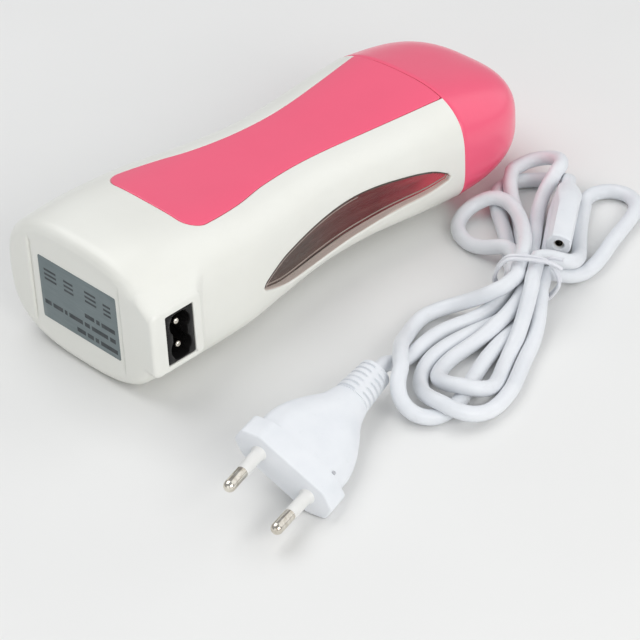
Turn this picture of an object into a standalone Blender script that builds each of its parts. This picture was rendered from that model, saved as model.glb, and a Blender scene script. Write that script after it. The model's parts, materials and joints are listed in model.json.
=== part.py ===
"""Handheld roll-on wax cartridge heater with its mains lead, one object for each piece.

The heater lies on its back. All dimensions are in millimetres in the heater's own frame: x runs from the
base end to the tip of the cap, y across it and z up through the coloured front panel. place() turns them
into metres and moves the origin to the middle of the heater's box, on the surface that it lies on.
"""
import math

import bmesh
import bpy
import numpy as np
from mathutils import Matrix, Vector

MM = 0.001
GAP = 0.3            # clearance between pieces that touch on the real heater
AROUND = 36          # points around a section of the casing

# ---- casing
SEAM_X = 142.5       # plane where the cap meets the casing
CAP_LENGTH = 37.5
LENGTH = SEAM_X + CAP_LENGTH
WALL = 2.4
BASE_EDGE = 3.4      # radius of the edge around the base end
# distance from the base end, half width, top, underside, squareness of the section
CASING = (
    (0.0, 33.4, 47.6, 0.3, 2.8),
    (16.0, 32.9, 48.2, -0.3, 3.1),
    (34.0, 32.8, 46.3, 0.6, 3.5),
    (48.0, 32.1, 44.4, 1.8, 3.8),
    (62.0, 29.6, 43.0, 2.4, 3.9),
    (84.0, 27.0, 41.6, 3.1, 3.8),
    (104.0, 28.1, 40.8, 3.4, 3.6),
    (124.0, 30.6, 41.1, 1.8, 3.4),
    (SEAM_X, 32.0, 42.2, -0.3, 3.1),
)
BOSS_REACH = 35.8    # how far the inlet boss stands out from the mid-plane
BASE_RECESS = 0.5
BASE_RECESS_HALF = 21.0

# ---- cap: it keeps the casing's section at the seam and closes to a blunt nose
CAP_WALL = 1.8
CAP_FLARE = 3.8
CAP_FLARE_POWER = 1.8
CAP_TOP_FALL = 7.5
CAP_UNDER_RISE = 10.5
CAP_PLAN_POWER = 2.8
CAP_SIDE_POWER = 5.4
COLLAR_WALL = 1.8
COLLAR_REACH = 7.0   # how far the collar enters the cap

# ---- front panel: distance from the base end, half width
PANEL = (
    (31.2, 20.4),
    (37.5, 20.8),
    (52.0, 19.0),
    (66.0, 15.8),
    (84.0, 14.1),
    (104.0, 15.0),
    (SEAM_X - GAP, 20.4),
)
PANEL_CORNER = 6.0
PANEL_DEPTH = 1.1

# ---- window: distance from the base end, lower edge, upper edge
WINDOW = (
    (49.6, 17.8, 19.8),
    (54.0, 15.6, 21.8),
    (63.0, 12.4, 24.6),
    (80.0, 11.2, 27.2),
    (97.0, 13.2, 28.6),
    (114.0, 15.1, 26.8),
    (127.0, 15.8, 23.8),
    (135.8, 17.2, 19.2),
)
LENS_SET_BACK = 0.5
LENS_DEPTH = 2.0

# ---- back cover
COVER_X = (24.0, 127.0)
COVER_HALF = 17.0
COVER_CORNER = 6.0
COVER_DEPTH = 1.7
COVER_SCREW = (30.5, 11.5)
POST_RADIUS = 3.2

# ---- heating chamber, a superelliptic cup that is open towards the cap
CHAMBER_X = (40.0, 140.2)
CHAMBER_HALF = (23.2, 13.4)
CHAMBER_MID_Z = 22.6
CHAMBER_WALL = 1.0
CHAMBER_SQUARE = 4.2
BULKHEAD_X = (35.8, 38.8)

# ---- mains inlet
INLET_X = 11.2
INLET_Z = 24.1
INLET_WIDTH = 11.0
INLET_HEIGHT = 18.0
PIN_PITCH = 8.6
PIN_RADIUS = 1.2
SOCKET_FRONT = -35.5
SOCKET_BACK = -22.0
SOCKET_RADIUS = 4.1
SOCKET_DEPTH = 9.4

# ---- lead
CORD_RADIUS = 2.5
WIRE_RADIUS = 0.8

# ---- mains plug, in its own frame: x along the pins from the front face, y across, z through its thickness
PLUG_AT = (-4.4, -94.8, 11.7)
PLUG_YAW = -163.2
PLUG_NOSE_UP = 3.0
PLUG_ROLL = 33.0
PLUG_HALF = 17.65
PLUG_THICK = 10.5
PLUG_PIN_PITCH = 18.6
PLUG_PIN_TIP_PITCH = 18.0
PLUG_PIN_LENGTH = 19.0
PLUG_PIN_RADIUS = 2.0
PLUG_SLEEVE_LENGTH = 10.0
# distance behind the front face, half width, half thickness
PLUG_BODY = (
    (0.0, 17.65, 5.2),
    (8.4, 17.65, 5.2),
    (9.0, 15.4, 5.2),
    (16.0, 15.2, 5.2),
    (22.5, 13.6, 5.1),
    (29.0, 10.8, 5.0),
    (35.0, 7.8, 4.8),
    (41.0, 6.2, 4.6),
)
RELIEF_LENGTH = 16.0
RELIEF_HALF = (5.9, 4.7)
RELIEF_RIBS = 5

# ---- connector at the heater's end of the lead, standing on its narrow side
CONNECTOR_AT = (134.5, -77.0, 8.2)
CONNECTOR_REAR = (166.0, -55.5, 8.2)
CONNECTOR_TILT = 18.0
CONNECTOR_HALF = 4.2

# ---- the tie round the middle of the folded lead
TIE_AT = (118.0, -80.0)
TIE_TURN = 33.0      # direction of the bundle through the tie
TIE_RUN = 7.5        # half of the straight run through it
TIE_RADIUS = 0.65
# places in the bundle: across it (towards the plug's side is positive), height
TIE_SLOTS = {
    "far low": (-2.6, 4.4),
    "near low": (2.6, 4.4),
    "far": (-5.2, 8.9),
    "middle": (0.0, 8.9),
    "near": (5.2, 8.9),
    "far top": (-2.6, 13.4),
    "near top": (2.6, 13.4),
}
# half a turn of the tie's wire from its top, on the side away from the plug: across the bundle, height
TIE_OUTLINE = ((0.0, 17.8), (-6.8, 16.4), (-10.3, 9.0), (-7.2, 2.8), (-2.6, 0.7))
TIE_PITCH = 1.7

# ---- route of the lead: points drawn from the plug to the connector, the place in the tie that follows them
# and whether the cord runs towards the connector (1) or towards the plug (-1) through it
CORD_STEP = 13.5     # distance between the tube's rings
CORD_PIECE = 3.0     # distance between the points that settle
CORD_SPACING = 2 * CORD_RADIUS + 0.25
CORD_BEND = 9.0      # tightest radius that the cord takes by itself
LEAD = (
    # from the plug, over the surface to the tie
    (((63, -77, 7.5), (72, -74.5, 5), (82, -72, 2.6), (92, -73, 2.6), (99, -77, 5)), "far", 1),
    # the loop nearest the casing
    (((130, -67, 5), (128.5, -60, 2.6), (126, -53, 2.6), (127, -46, 2.6), (132, -39.5, 2.6), (139, -36, 2.6),
      (144, -36, 6), (147, -38, 10), (148, -42, 12), (146.5, -47, 12.5), (143.5, -52, 12.5), (140, -58, 12),
      (136, -64, 12), (131, -70, 12)), "far top", -1),
    # the widest loop on the plug's side
    (((105, -80, 11), (102, -72, 9), (98, -65.5, 7), (92, -62.5, 7), (85, -64, 8), (76, -68.5, 11),
      (65, -75, 13), (56, -80.5, 13.6), (51, -84, 11.5), (49, -89, 6), (48.5, -95, 3), (51, -100, 2.6),
      (57, -102, 2.6), (65, -100, 2.6), (75, -96, 2.6), (87, -92, 2.6), (98, -89, 2.6)), "near low", 1),
    # the small loop that passes over the cord of the connector
    (((134, -72, 2.6), (141, -61, 2.6), (147, -53, 2.6), (153, -45, 2.6), (157, -38.5, 5), (162, -34.5, 7.8),
      (169, -31.5, 5), (175, -31, 3), (177, -35, 4), (172, -40, 7.8), (165, -43.5, 7.8), (159, -47, 5),
      (154, -53, 2.6), (147, -61, 2.6), (139, -68.5, 4)), "middle", -1),
    # the inner loop on the plug's side
    (((106, -86.5, 8), (99, -87, 8), (92, -86.5, 8), (86, -84.5, 8), (80, -83.5, 6), (74, -86, 4),
      (69, -91, 4.5), (65, -97, 7), (64, -103, 8), (68, -105, 6), (75, -102.5, 3.5), (84, -98.5, 2.6),
      (94, -94, 2.6), (102, -91, 6)), "near top", 1),
    # the loop beyond the connector
    (((131, -81, 10), (141, -79, 6), (151, -73.5, 3), (157, -68, 2.6), (162, -63, 2.6), (168, -59, 2.6),
      (174, -57.5, 2.6), (180, -58.5, 2.6), (183, -63, 2.6), (181, -68.5, 2.6), (176, -73, 2.6),
      (169, -76.5, 2.6), (158, -80, 2.6), (148, -83.5, 2.6), (138, -87, 4)), "near", -1),
    # the nearest loop on the plug's side
    (((106, -96, 5), (96, -99.5, 2.6), (86, -104, 2.6), (76, -108.5, 2.6), (68, -110.5, 4), (60, -110, 7.8),
      (54.5, -106, 8), (55, -99, 5.5), (58.5, -92, 3), (63, -86, 2.6), (69, -81, 2.6), (77, -79, 2.6),
      (86, -80, 2.6), (97, -83, 2.6)), "far low", 1),
    # round to the connector
    (((131, -67, 2.6), (137, -57, 2.6), (143, -47, 2.6), (149, -39, 2.6), (155, -33, 2.6), (161, -31, 2.6),
      (166, -34, 2.6), (170, -40, 3), (171.5, -46, 5)), None, 0),
)


def clear_scene():
    for obj in list(bpy.data.objects):
        bpy.data.objects.remove(obj, do_unlink=True)


def material(name, colour, roughness, metallic=0.0, alpha=1.0):
    mat = bpy.data.materials.get(name) or bpy.data.materials.new(name)
    mat.use_nodes = True
    shader = mat.node_tree.nodes["Principled BSDF"]
    shader.inputs["Base Color"].default_value = (*colour, 1.0)
    shader.inputs["Roughness"].default_value = roughness
    shader.inputs["Metallic"].default_value = metallic
    shader.inputs["Alpha"].default_value = alpha
    mat.diffuse_color = (*colour, alpha)
    return mat


def place(point):
    """Heater frame in millimetres to world metres, with the origin under the middle of the heater's box."""
    middle_y = (CASING[0][1] - BOSS_REACH) / 2
    return Vector(((point[0] - LENGTH / 2) * MM, (point[1] - middle_y) * MM, point[2] * MM))


def finish(mesh, name, mat):
    """Put a bmesh that is in heater millimetres into a named object with its faces facing out."""
    bmesh.ops.recalc_face_normals(mesh, faces=mesh.faces)
    for vert in mesh.verts:
        vert.co = place(vert.co)
    data = bpy.data.meshes.new(name)
    mesh.to_mesh(data)
    mesh.free()
    data.materials.append(mat)
    data.shade_smooth()
    data.set_sharp_from_angle(angle=math.radians(35))
    obj = bpy.data.objects.new(name, data)
    bpy.context.scene.collection.objects.link(obj)
    return obj


def loft(name, rings, mat, closed=False, turn=None):
    """Skin rings of equal length; the ends are capped, or joined to each other when closed is set."""
    mesh = bmesh.new()
    rows = []
    for ring in rings:
        points = [turn @ Vector(p) for p in ring] if turn else ring
        rows.append([mesh.verts.new(p) for p in points])
    pairs = list(zip(rows, rows[1:]))
    if closed:
        pairs.append((rows[-1], rows[0]))
    for first, second in pairs:
        for i in range(len(first)):
            j = (i + 1) % len(first)
            mesh.faces.new((first[i], first[j], second[j], second[i]))
    if not closed:
        mesh.faces.new(rows[0][::-1])
        mesh.faces.new(rows[-1])
    return finish(mesh, name, mat)


def modify(obj, tool, operation):
    """Cut obj with a tool object, or join the tool to it; the tool itself is only a guide."""
    step = obj.modifiers.new(tool.name, "BOOLEAN")
    step.operation = operation
    step.solver = "EXACT"
    step.object = tool
    tool.hide_render = True
    tool.display_type = "WIRE"


def smooth_row(rows, x):
    """Read a table of stations at x with a smooth curve through each column."""
    i = max(0, min(len(rows) - 2, sum(1 for row in rows if row[0] <= x) - 1))
    a, b = rows[i], rows[i + 1]
    before = rows[max(i - 1, 0)]
    after = rows[min(i + 2, len(rows) - 1)]
    span = b[0] - a[0]
    t = max(0.0, min(1.0, (x - a[0]) / span))
    values = []
    for k in range(1, len(a)):
        slope_a = (b[k] - before[k]) / (b[0] - before[0])
        slope_b = (after[k] - a[k]) / (after[0] - a[0])
        values.append(
            a[k] * (2 * t**3 - 3 * t**2 + 1)
            + slope_a * span * (t**3 - 2 * t**2 + t)
            + b[k] * (3 * t**2 - 2 * t**3)
            + slope_b * span * (t**3 - t**2)
        )
    return values


def oval(x, half_width, half_height, mid_z, square, count=AROUND):
    """A superelliptic ring across the heater at x, flattened where it would sink below the surface."""
    ring = []
    for i in range(count):
        angle = math.tau * i / count
        c, s = math.cos(angle), math.sin(angle)
        reach = (abs(c) ** square + abs(s) ** square) ** (-1 / square)
        ring.append((x, half_width * reach * c, max(mid_z + half_height * reach * s, 0.0)))
    return ring


def section(x, inset=0.0):
    """Half width, half height, middle height and squareness of the casing at x, inset from its surface."""
    half_width, top, under, square = smooth_row(CASING, x)
    if x < BASE_EDGE:
        inset += BASE_EDGE - math.sqrt(BASE_EDGE**2 - (BASE_EDGE - x) ** 2)
    return half_width - inset, (top - under) / 2 - inset, (top + under) / 2, square


def top_z(x, y, inset=0.0):
    half_width, half_height, mid_z, square = section(x, inset)
    return mid_z + half_height * (1 - min(abs(y / half_width), 1) ** square) ** (1 / square)


def under_z(x, y, inset=0.0):
    half_width, half_height, mid_z, square = section(x, inset)
    return mid_z - half_height * (1 - min(abs(y / half_width), 1) ** square) ** (1 / square)


def side_y(x, z, inset=0.0):
    half_width, half_height, mid_z, square = section(x, inset)
    return -half_width * (1 - min(abs((z - mid_z) / half_height), 1) ** square) ** (1 / square)


def spread(first, last, count):
    return [first + (last - first) * i / (count - 1) for i in range(count)]


def patch(name, stations, across, low_edge, high_edge, outer, inner, mat):
    """A curved plate: at each x it spans low_edge(x) to high_edge(x) between two surfaces."""
    mesh = bmesh.new()
    layers = []
    for surface in (outer, inner):
        rows = []
        for x in stations:
            marks = spread(low_edge(x), high_edge(x), across)
            rows.append([mesh.verts.new(surface(x, mark)) for mark in marks])
        layers.append(rows)
    top, bottom = layers
    last_x, last_a = len(stations) - 1, across - 1
    for i in range(last_x):
        for j in range(last_a):
            mesh.faces.new((top[i][j], top[i + 1][j], top[i + 1][j + 1], top[i][j + 1]))
            mesh.faces.new((bottom[i][j], bottom[i][j + 1], bottom[i + 1][j + 1], bottom[i + 1][j]))
        for j in (0, last_a):
            mesh.faces.new((top[i][j], top[i + 1][j], bottom[i + 1][j], bottom[i][j]))
    for i in (0, last_x):
        for j in range(last_a):
            mesh.faces.new((top[i][j], top[i][j + 1], bottom[i][j + 1], bottom[i][j]))
    return finish(mesh, name, mat)


def block(name, low, high, mat, radius=0.0, segments=2):
    """A box between two corners, with rounded edges where radius is given."""
    mesh = bmesh.new()
    size = [h - l for l, h in zip(low, high)]
    middle = [(h + l) / 2 for l, h in zip(low, high)]
    bmesh.ops.create_cube(mesh, size=1.0, matrix=Matrix.Translation(middle) @ Matrix.Diagonal((*size, 1)))
    if radius:
        bmesh.ops.bevel(mesh, geom=mesh.edges[:], offset=radius, segments=segments, affect="EDGES",
                        profile=0.5)
    return finish(mesh, name, mat)


def turned(name, profile, start, direction, mat, sides=12):
    """A turned piece: profile holds (distance along the axis, radius) from one end to the other."""
    axis = Vector(direction).normalized()
    turn = Matrix.Translation(start) @ axis.to_track_quat("Z", "Y").to_matrix().to_4x4()
    rings = []
    for along, radius in profile:
        ring = []
        for i in range(sides):
            angle = math.tau * i / sides
            ring.append((radius * math.cos(angle), radius * math.sin(angle), along))
        rings.append(ring)
    return loft(name, rings, mat, turn=turn)


def rod(name, start, end, radius, mat, sides=12):
    length = (Vector(end) - Vector(start)).length
    return turned(name, ((0, radius), (length, radius)), start, Vector(end) - Vector(start), mat, sides)


def through(points, step):
    """Points about a step apart along a smooth curve through the given ones."""
    points = [Vector(p) for p in points]
    ends = [2 * points[0] - points[1]] + points + [2 * points[-1] - points[-2]]
    fine = []
    for a, b, c, d in zip(ends, ends[1:], ends[2:], ends[3:]):
        for i in range(24):
            t = i / 24
            squared = (2 * a - 5 * b + 4 * c - d) * t**2
            cubed = (3 * b - a - 3 * c + d) * t**3
            fine.append(0.5 * (2 * b + (c - a) * t + squared + cubed))
    fine.append(points[-1])
    lengths = [0.0]
    for p, q in zip(fine, fine[1:]):
        lengths.append(lengths[-1] + (q - p).length)
    count = max(2, round(lengths[-1] / step) + 1)
    result = []
    k = 0
    for target in spread(0.0, lengths[-1], count):
        while k < len(fine) - 2 and lengths[k + 1] < target:
            k += 1
        share = (target - lengths[k]) / max(lengths[k + 1] - lengths[k], 1e-9)
        result.append(fine[k].lerp(fine[k + 1], min(share, 1.0)))
    return result


def tube(name, line, radius, mat, sides_level=2):
    """A cable along a line of points, with closed ends."""
    curve = bpy.data.curves.new(name, "CURVE")
    curve.dimensions = "3D"
    curve.bevel_depth = radius * MM
    curve.bevel_resolution = sides_level
    curve.use_fill_caps = True
    spline = curve.splines.new("POLY")
    spline.points.add(len(line) - 1)
    for knot, point in zip(spline.points, line):
        knot.co = (*place(point), 1.0)
    curve.materials.append(mat)
    obj = bpy.data.objects.new(name, curve)
    bpy.context.scene.collection.objects.link(obj)
    return obj


def rounded(corners, radius, steps=3):
    """A polygon in (y, z) with each corner rounded off by an arc-like curve of a few points."""
    outline = []
    for i, corner in enumerate(corners):
        here = Vector(corner)
        before = Vector(corners[i - 1]) - here
        after = Vector(corners[(i + 1) % len(corners)]) - here
        reach = min(radius, before.length / 2.2, after.length / 2.2)
        start = here + before.normalized() * reach
        end = here + after.normalized() * reach
        for t in spread(0.0, 1.0, steps):
            outline.append(start * (1 - t) ** 2 + here * 2 * t * (1 - t) + end * t**2)
    return outline


def eight(half_length, half_width, waist, steps=8):
    """The figure-of-eight outline of the two-pin connection: two round lobes joined by a waist."""
    outline = []
    centre = half_length - half_width
    for side in (1, -1):
        for angle in spread(0.0, math.pi, steps):
            up = centre + half_width * math.sin(angle)
            outline.append((side * half_width * math.cos(angle), side * up))
        outline.append((-side * waist, 0.0))
    return outline


# ---------------------------------------------------------------- casing


def casing_stations():
    edge = [BASE_EDGE * (1 - math.cos(angle)) for angle in spread(0.0, math.pi / 2, 6)]
    return edge + spread(BASE_EDGE, SEAM_X - GAP / 2, 21)[1:]


def main_shell(mat):
    """The ivory casing: a cup that is open at the cap end."""
    rings = [oval(x, *section(x)) for x in casing_stations()]
    for x in spread(SEAM_X - GAP / 2, WALL, 12):
        rings.append(oval(x, *neck_section(x, WALL)))
    shell = loft("main_shell", rings, mat)
    modify(shell, inlet_boss(mat), "UNION")
    for side in (1, -1):
        post = rod(f"guide_post_{side}", (COVER_SCREW[0], side * COVER_SCREW[1], 2.7),
                   (COVER_SCREW[0], side * COVER_SCREW[1], 44.4), POST_RADIUS, mat)
        modify(shell, post, "UNION")
        bore = rod(f"guide_bore_{side}", (COVER_SCREW[0], side * COVER_SCREW[1], 1.0),
                   (COVER_SCREW[0], side * COVER_SCREW[1], 12.0), 1.5, mat)
        modify(shell, bore, "DIFFERENCE")
    for tool in (inlet_cut(mat), window_cut(mat), cover_cut(mat), panel_cut(mat), base_recess(mat)):
        modify(shell, tool, "DIFFERENCE")
    return shell


def inlet_boss(mat):
    return block("guide_boss", (0.0, -BOSS_REACH, 12.5), (19.7, -29.0, 36.0), mat, radius=2.0)


def inlet_cut(mat):
    half = INLET_WIDTH / 2 + GAP
    tall = INLET_HEIGHT / 2 + GAP
    low = (INLET_X - half, -40.0, INLET_Z - tall)
    high = (INLET_X + half, -20.0, INLET_Z + tall)
    return block("guide_inlet", low, high, mat)


def window_edge(x, which):
    low, high = smooth_row(WINDOW, x)
    return high if which == "high" else low


def window_cut(mat):
    """A prism with the window's outline that runs through the near wall."""
    stations = spread(WINDOW[0][0] - GAP, WINDOW[-1][0] + GAP, 25)
    return patch("guide_window", stations, 2, lambda x: window_edge(x, "low") - GAP,
                 lambda x: window_edge(x, "high") + GAP,
                 lambda x, z: (x, -40.0, z),
                 lambda x, z: (x, -20.0, z), mat)


def corner_loss(distance, radius):
    """How much a half width loses this far from the end of a plate whose corners are rounded."""
    if distance >= radius:
        return 0.0
    return radius - math.sqrt(radius**2 - (radius - max(distance, 0.0)) ** 2)


def cover_half(x, grow=0.0):
    first, last = COVER_X
    distance = min(x - first, last - x) + grow
    return COVER_HALF + grow - corner_loss(distance, COVER_CORNER)


def plate_stations(first, last, corner, count, round_last=True):
    ends = [corner * (1 - math.cos(angle)) for angle in spread(0.0, math.pi / 2, 5)]
    straight = spread(first + corner, last - (corner if round_last else 0), count)
    stations = [first + d for d in ends] + straight[1:]
    if round_last:
        stations += [last - d for d in ends[-2::-1]]
    return stations


def cover_cut(mat):
    first, last = COVER_X
    stations = plate_stations(first - GAP, last + GAP, COVER_CORNER, 4)
    return patch("guide_cover", stations, 2, lambda x: -cover_half(x, GAP), lambda x: cover_half(x, GAP),
                 lambda x, y: (x, y, -6.0), lambda x, y: (x, y, 8.5), mat)


def back_cover(mat):
    stations = plate_stations(*COVER_X, COVER_CORNER, 12)
    cover = patch("back_cover", stations, 7, lambda x: -cover_half(x), cover_half,
                  lambda x, y: (x, y, max(under_z(x, y), 0.0)),
                  lambda x, y: (x, y, max(under_z(x, y), 0.0) + COVER_DEPTH), mat)
    for side in (1, -1):
        at = (COVER_SCREW[0], side * COVER_SCREW[1])
        profile = ((0, 2.9), (2.0, 2.9), (2.0, 1.6), (4.5, 1.6))
        tool = turned(f"guide_screw_{side}", profile, (*at, -0.6), (0, 0, 1), mat)
        modify(cover, tool, "DIFFERENCE")
    return cover


def back_screw(name, side, mat):
    """A cross-head screw whose head sits in the cover's counterbore."""
    at = (COVER_SCREW[0], side * COVER_SCREW[1], 0.2)
    profile = ((0, 2.0), (0.3, 2.5), (1.0, 2.5), (1.0, 1.2), (9.0, 1.2), (10.0, 0.4))
    screw = turned(name, profile, at, (0, 0, 1), mat)
    for k, (length, width) in enumerate(((1.6, 0.25), (0.25, 1.6))):
        low = (at[0] - length, at[1] - width, -1.0)
        high = (at[0] + length, at[1] + width, 0.75)
        modify(screw, block(f"guide_{name}_{k}", low, high, mat), "DIFFERENCE")
    return screw


def panel_half(x, grow=0.0):
    return smooth_row(PANEL, x)[0] + grow - corner_loss(x - PANEL[0][0] + grow, PANEL_CORNER)


def panel_cut(mat):
    stations = plate_stations(PANEL[0][0] - GAP, SEAM_X + 2.0, PANEL_CORNER, 18, round_last=False)
    return patch("guide_panel", stations, 9, lambda x: -panel_half(x, GAP), lambda x: panel_half(x, GAP),
                 lambda x, y: (x, y, top_z(x, y) + 4.0),
                 lambda x, y: (x, y, top_z(x, y) - PANEL_DEPTH - GAP), mat)


def front_panel(mat):
    stations = plate_stations(PANEL[0][0], SEAM_X - GAP / 2, PANEL_CORNER, 18, round_last=False)
    return patch("front_panel", stations, 9, lambda x: -panel_half(x), panel_half,
                 lambda x, y: (x, y, top_z(x, y)), lambda x, y: (x, y, top_z(x, y) - PANEL_DEPTH), mat)


def base_recess(mat):
    return block("guide_base", (-2.0, -BASE_RECESS_HALF, -5.0), (BASE_RECESS, BASE_RECESS_HALF, 60.0), mat)


def rating_label(mat):
    return block("rating_label", (BASE_RECESS - 0.4, -19.0, 11.6), (BASE_RECESS - 0.1, 17.2, 35.0), mat)


def window_lens(mat):
    stations = spread(WINDOW[0][0], WINDOW[-1][0], 27)
    return patch("window_lens", stations, 7,
                 lambda x: window_edge(x, "low"),
                 lambda x: window_edge(x, "high"),
                 lambda x, z: (x, side_y(x, z, LENS_SET_BACK), z),
                 lambda x, z: (x, side_y(x, z, LENS_SET_BACK + LENS_DEPTH), z), mat)


# ---------------------------------------------------------------- cap


def cap_section(u, inset):
    """Half width, half height, middle height and squareness of the cap, u of the way from seam to tip."""
    half_width, seam_top, seam_under, square = CASING[-1][1:]
    plan = (1 - u**CAP_PLAN_POWER) ** (1 / CAP_PLAN_POWER)
    side = (1 - u**CAP_SIDE_POWER) ** (1 / CAP_SIDE_POWER)
    top = seam_top - CAP_TOP_FALL * u
    under = seam_under + CAP_UNDER_RISE * u**2
    wide = (half_width + CAP_FLARE * u**CAP_FLARE_POWER) * plan
    return wide - inset, (top - under) / 2 * side - inset, (top + under) / 2, square


def cap(mat):
    shares = [1 - (1 - t) ** 2.6 for t in spread(0.0, 0.93, 15)]
    rings = []
    for u in shares:
        rings.append(oval(SEAM_X + GAP / 2 + (CAP_LENGTH - GAP / 2) * u, *cap_section(u, 0.0)))
    rings.reverse()
    inner = []
    for u in shares[::2]:
        half_width, half_height, mid_z, square = cap_section(u, CAP_WALL)
        x = SEAM_X + GAP / 2 + (CAP_LENGTH - CAP_WALL - GAP / 2) * u
        inner.append(oval(x, half_width, half_height, max(mid_z, half_height + CAP_WALL), square))
    return loft("cap", rings + inner, mat)


def cap_collar(mat):
    """The neck that the cap pushes onto; its mouth leads a cartridge into the chamber."""
    start, end = SEAM_X - 12.0, SEAM_X + COLLAR_REACH
    back = CHAMBER_X[1] + GAP
    outside = WALL + GAP + 0.1
    half_width, half_height = CHAMBER_HALF
    mouth = (half_width + 0.2, half_height + 0.2, CHAMBER_MID_Z, CHAMBER_SQUARE)
    nose = neck_section(SEAM_X, outside + 1.0, drop=0.5)
    nose_edge = neck_section(SEAM_X, outside + 1.8, drop=0.5)
    rings = [oval(x, *neck_section(x, outside)) for x in spread(start, SEAM_X, 5)]
    rings += [oval(end - 0.8, *nose), oval(end, *nose_edge), oval(end, *mouth), oval(back, *mouth)]
    rings += [oval(x, *neck_section(x, outside + COLLAR_WALL)) for x in spread(back, start, 4)]
    return loft("cap_collar", rings, mat, closed=True)


def neck_section(x, inset, drop=0.0):
    half_width, half_height, mid_z, square = section(x, inset)
    return half_width, half_height, max(mid_z, half_height + inset) - drop, square


# ---------------------------------------------------------------- inside


def chamber(mat):
    first, last = CHAMBER_X
    half_width, half_height = CHAMBER_HALF
    outer = (half_width, half_height, CHAMBER_MID_Z, CHAMBER_SQUARE)
    inner = (half_width - CHAMBER_WALL, half_height - CHAMBER_WALL, CHAMBER_MID_Z, CHAMBER_SQUARE)
    edge = (half_width - 1.0, half_height - 1.0, CHAMBER_MID_Z, CHAMBER_SQUARE)
    rings = [oval(first, *edge), oval(first + 1.0, *outer), oval(last, *outer), oval(last, *inner),
             oval(first + CHAMBER_WALL + 0.4, *inner)]
    cup = loft("heating_chamber", rings, mat)
    slot = block("guide_slot", (55.0, -30.0, 14.0), (130.0, -18.0, 28.5), mat)
    modify(cup, slot, "DIFFERENCE")
    return cup


def bulkhead(mat):
    first, last = BULKHEAD_X
    rings = []
    for x in (first, last):
        half_width, half_height, mid_z, square = section(x, WALL + GAP)
        rings.append(oval(x, half_width, half_height - 0.6, mid_z + 0.2, square, 32))
    wall = loft("chamber_bulkhead", rings, mat)
    notch = block("guide_notch", (first - 1, -9.0, 0.0), (last + 1, 9.0, 9.6), mat)
    modify(wall, notch, "DIFFERENCE")
    return wall


def cartridge_spring(mat):
    """A bowed leaf on the chamber's far wall that holds a cartridge against the warm side."""
    rings = []
    for t in spread(0.0, 1.0, 13):
        x = 60.0 + 50.0 * t
        y = 21.4 - 3.2 * math.sin(math.pi * t)
        rings.append([(x, y, 18.0), (x, y, 29.0), (x, y + 0.5, 29.0), (x, y + 0.5, 18.0)])
    return loft("cartridge_spring", rings, mat)


def thermal_parts(steel, ceramic, plastic):
    block("ptc_heater", (70.0, -10.0, 6.2), (120.0, 10.0, 8.6), ceramic, radius=0.3, segments=1)
    block("insulation_pad", (70.0, -10.0, 5.45), (120.0, 10.0, 5.95), plastic)
    block("thermostat", (44.0, 2.0, 5.0), (64.0, 9.5, 8.6), steel, radius=0.5, segments=1)
    fuse = ((0, 0.6), (0.2, 1.5), (8.8, 1.5), (9.0, 0.6))
    turned("thermal_fuse", fuse, (44.0, -6.0, 6.6), (1, 0, 0), steel)


def wiring(mat):
    upper, lower = INLET_Z + PIN_PITCH / 2, INLET_Z - PIN_PITCH / 2
    routes = {
        "wire_live": ((INLET_X, -12.7, upper), (12.5, -8, upper - 1), (17, -3, 22), (23, 1, 13), (30, 3, 8),
                      (37, 5, 6.8), (43.7, 5.75, 6.8)),
        "wire_neutral": ((INLET_X, -12.7, lower), (13, -9, lower - 1), (19, -6.5, 12), (27, -5.5, 8),
                         (36, -5.8, 6.7), (43.7, -6, 6.6)),
        "wire_link": ((64.3, 5.75, 6.8), (67, 5.7, 7.0), (69.7, 5.5, 7.4)),
        "wire_heater": ((53.3, -6, 6.6), (60, -6.2, 6.6), (69.7, -5.5, 7.4)),
    }
    for name, route in routes.items():
        colour = mat["live"] if name in ("wire_live", "wire_link") else mat["neutral"]
        tube(name, through(route, 4.0), WIRE_RADIUS, colour)


# ---------------------------------------------------------------- mains inlet


def inlet_socket(mat):
    half, tall = INLET_WIDTH / 2, INLET_HEIGHT / 2
    body = block("inlet_socket", (INLET_X - half, SOCKET_FRONT, INLET_Z - tall),
                 (INLET_X + half, SOCKET_BACK, INLET_Z + tall), mat, radius=0.8)
    outline = eight(PIN_PITCH / 2 + SOCKET_RADIUS, SOCKET_RADIUS, 3.0)
    rings = []
    for y in (SOCKET_FRONT - 2.0, SOCKET_FRONT + SOCKET_DEPTH):
        rings.append([(INLET_X + a, y, INLET_Z + b) for a, b in outline])
    modify(body, loft("guide_socket", rings, mat), "DIFFERENCE")
    for side in (1, -1):
        z = INLET_Z + side * PIN_PITCH / 2
        hole = rod(f"guide_pin_{side}", (INLET_X, SOCKET_BACK + 1, z), (INLET_X, SOCKET_FRONT + 5, z),
                   PIN_RADIUS + 0.15, mat)
        modify(body, hole, "DIFFERENCE")
    return body


def inlet_pin(name, side, mat):
    z = INLET_Z + side * PIN_PITCH / 2
    profile = ((0, 0.5), (0.3, 0.95), (0.8, PIN_RADIUS), (13.9, PIN_RADIUS))
    return turned(name, profile, (INLET_X, SOCKET_FRONT + 2.0, z), (0, 1, 0), mat)


def crimp(name, side, mat):
    z = INLET_Z + side * PIN_PITCH / 2
    profile = ((0, 1.5), (2.5, 1.5), (3.0, 1.2), (6.2, 1.2))
    return turned(name, profile, (INLET_X, SOCKET_FRONT + 16.3, z), (0, 1, 0), mat)


# ---------------------------------------------------------------- plug and connector


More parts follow.
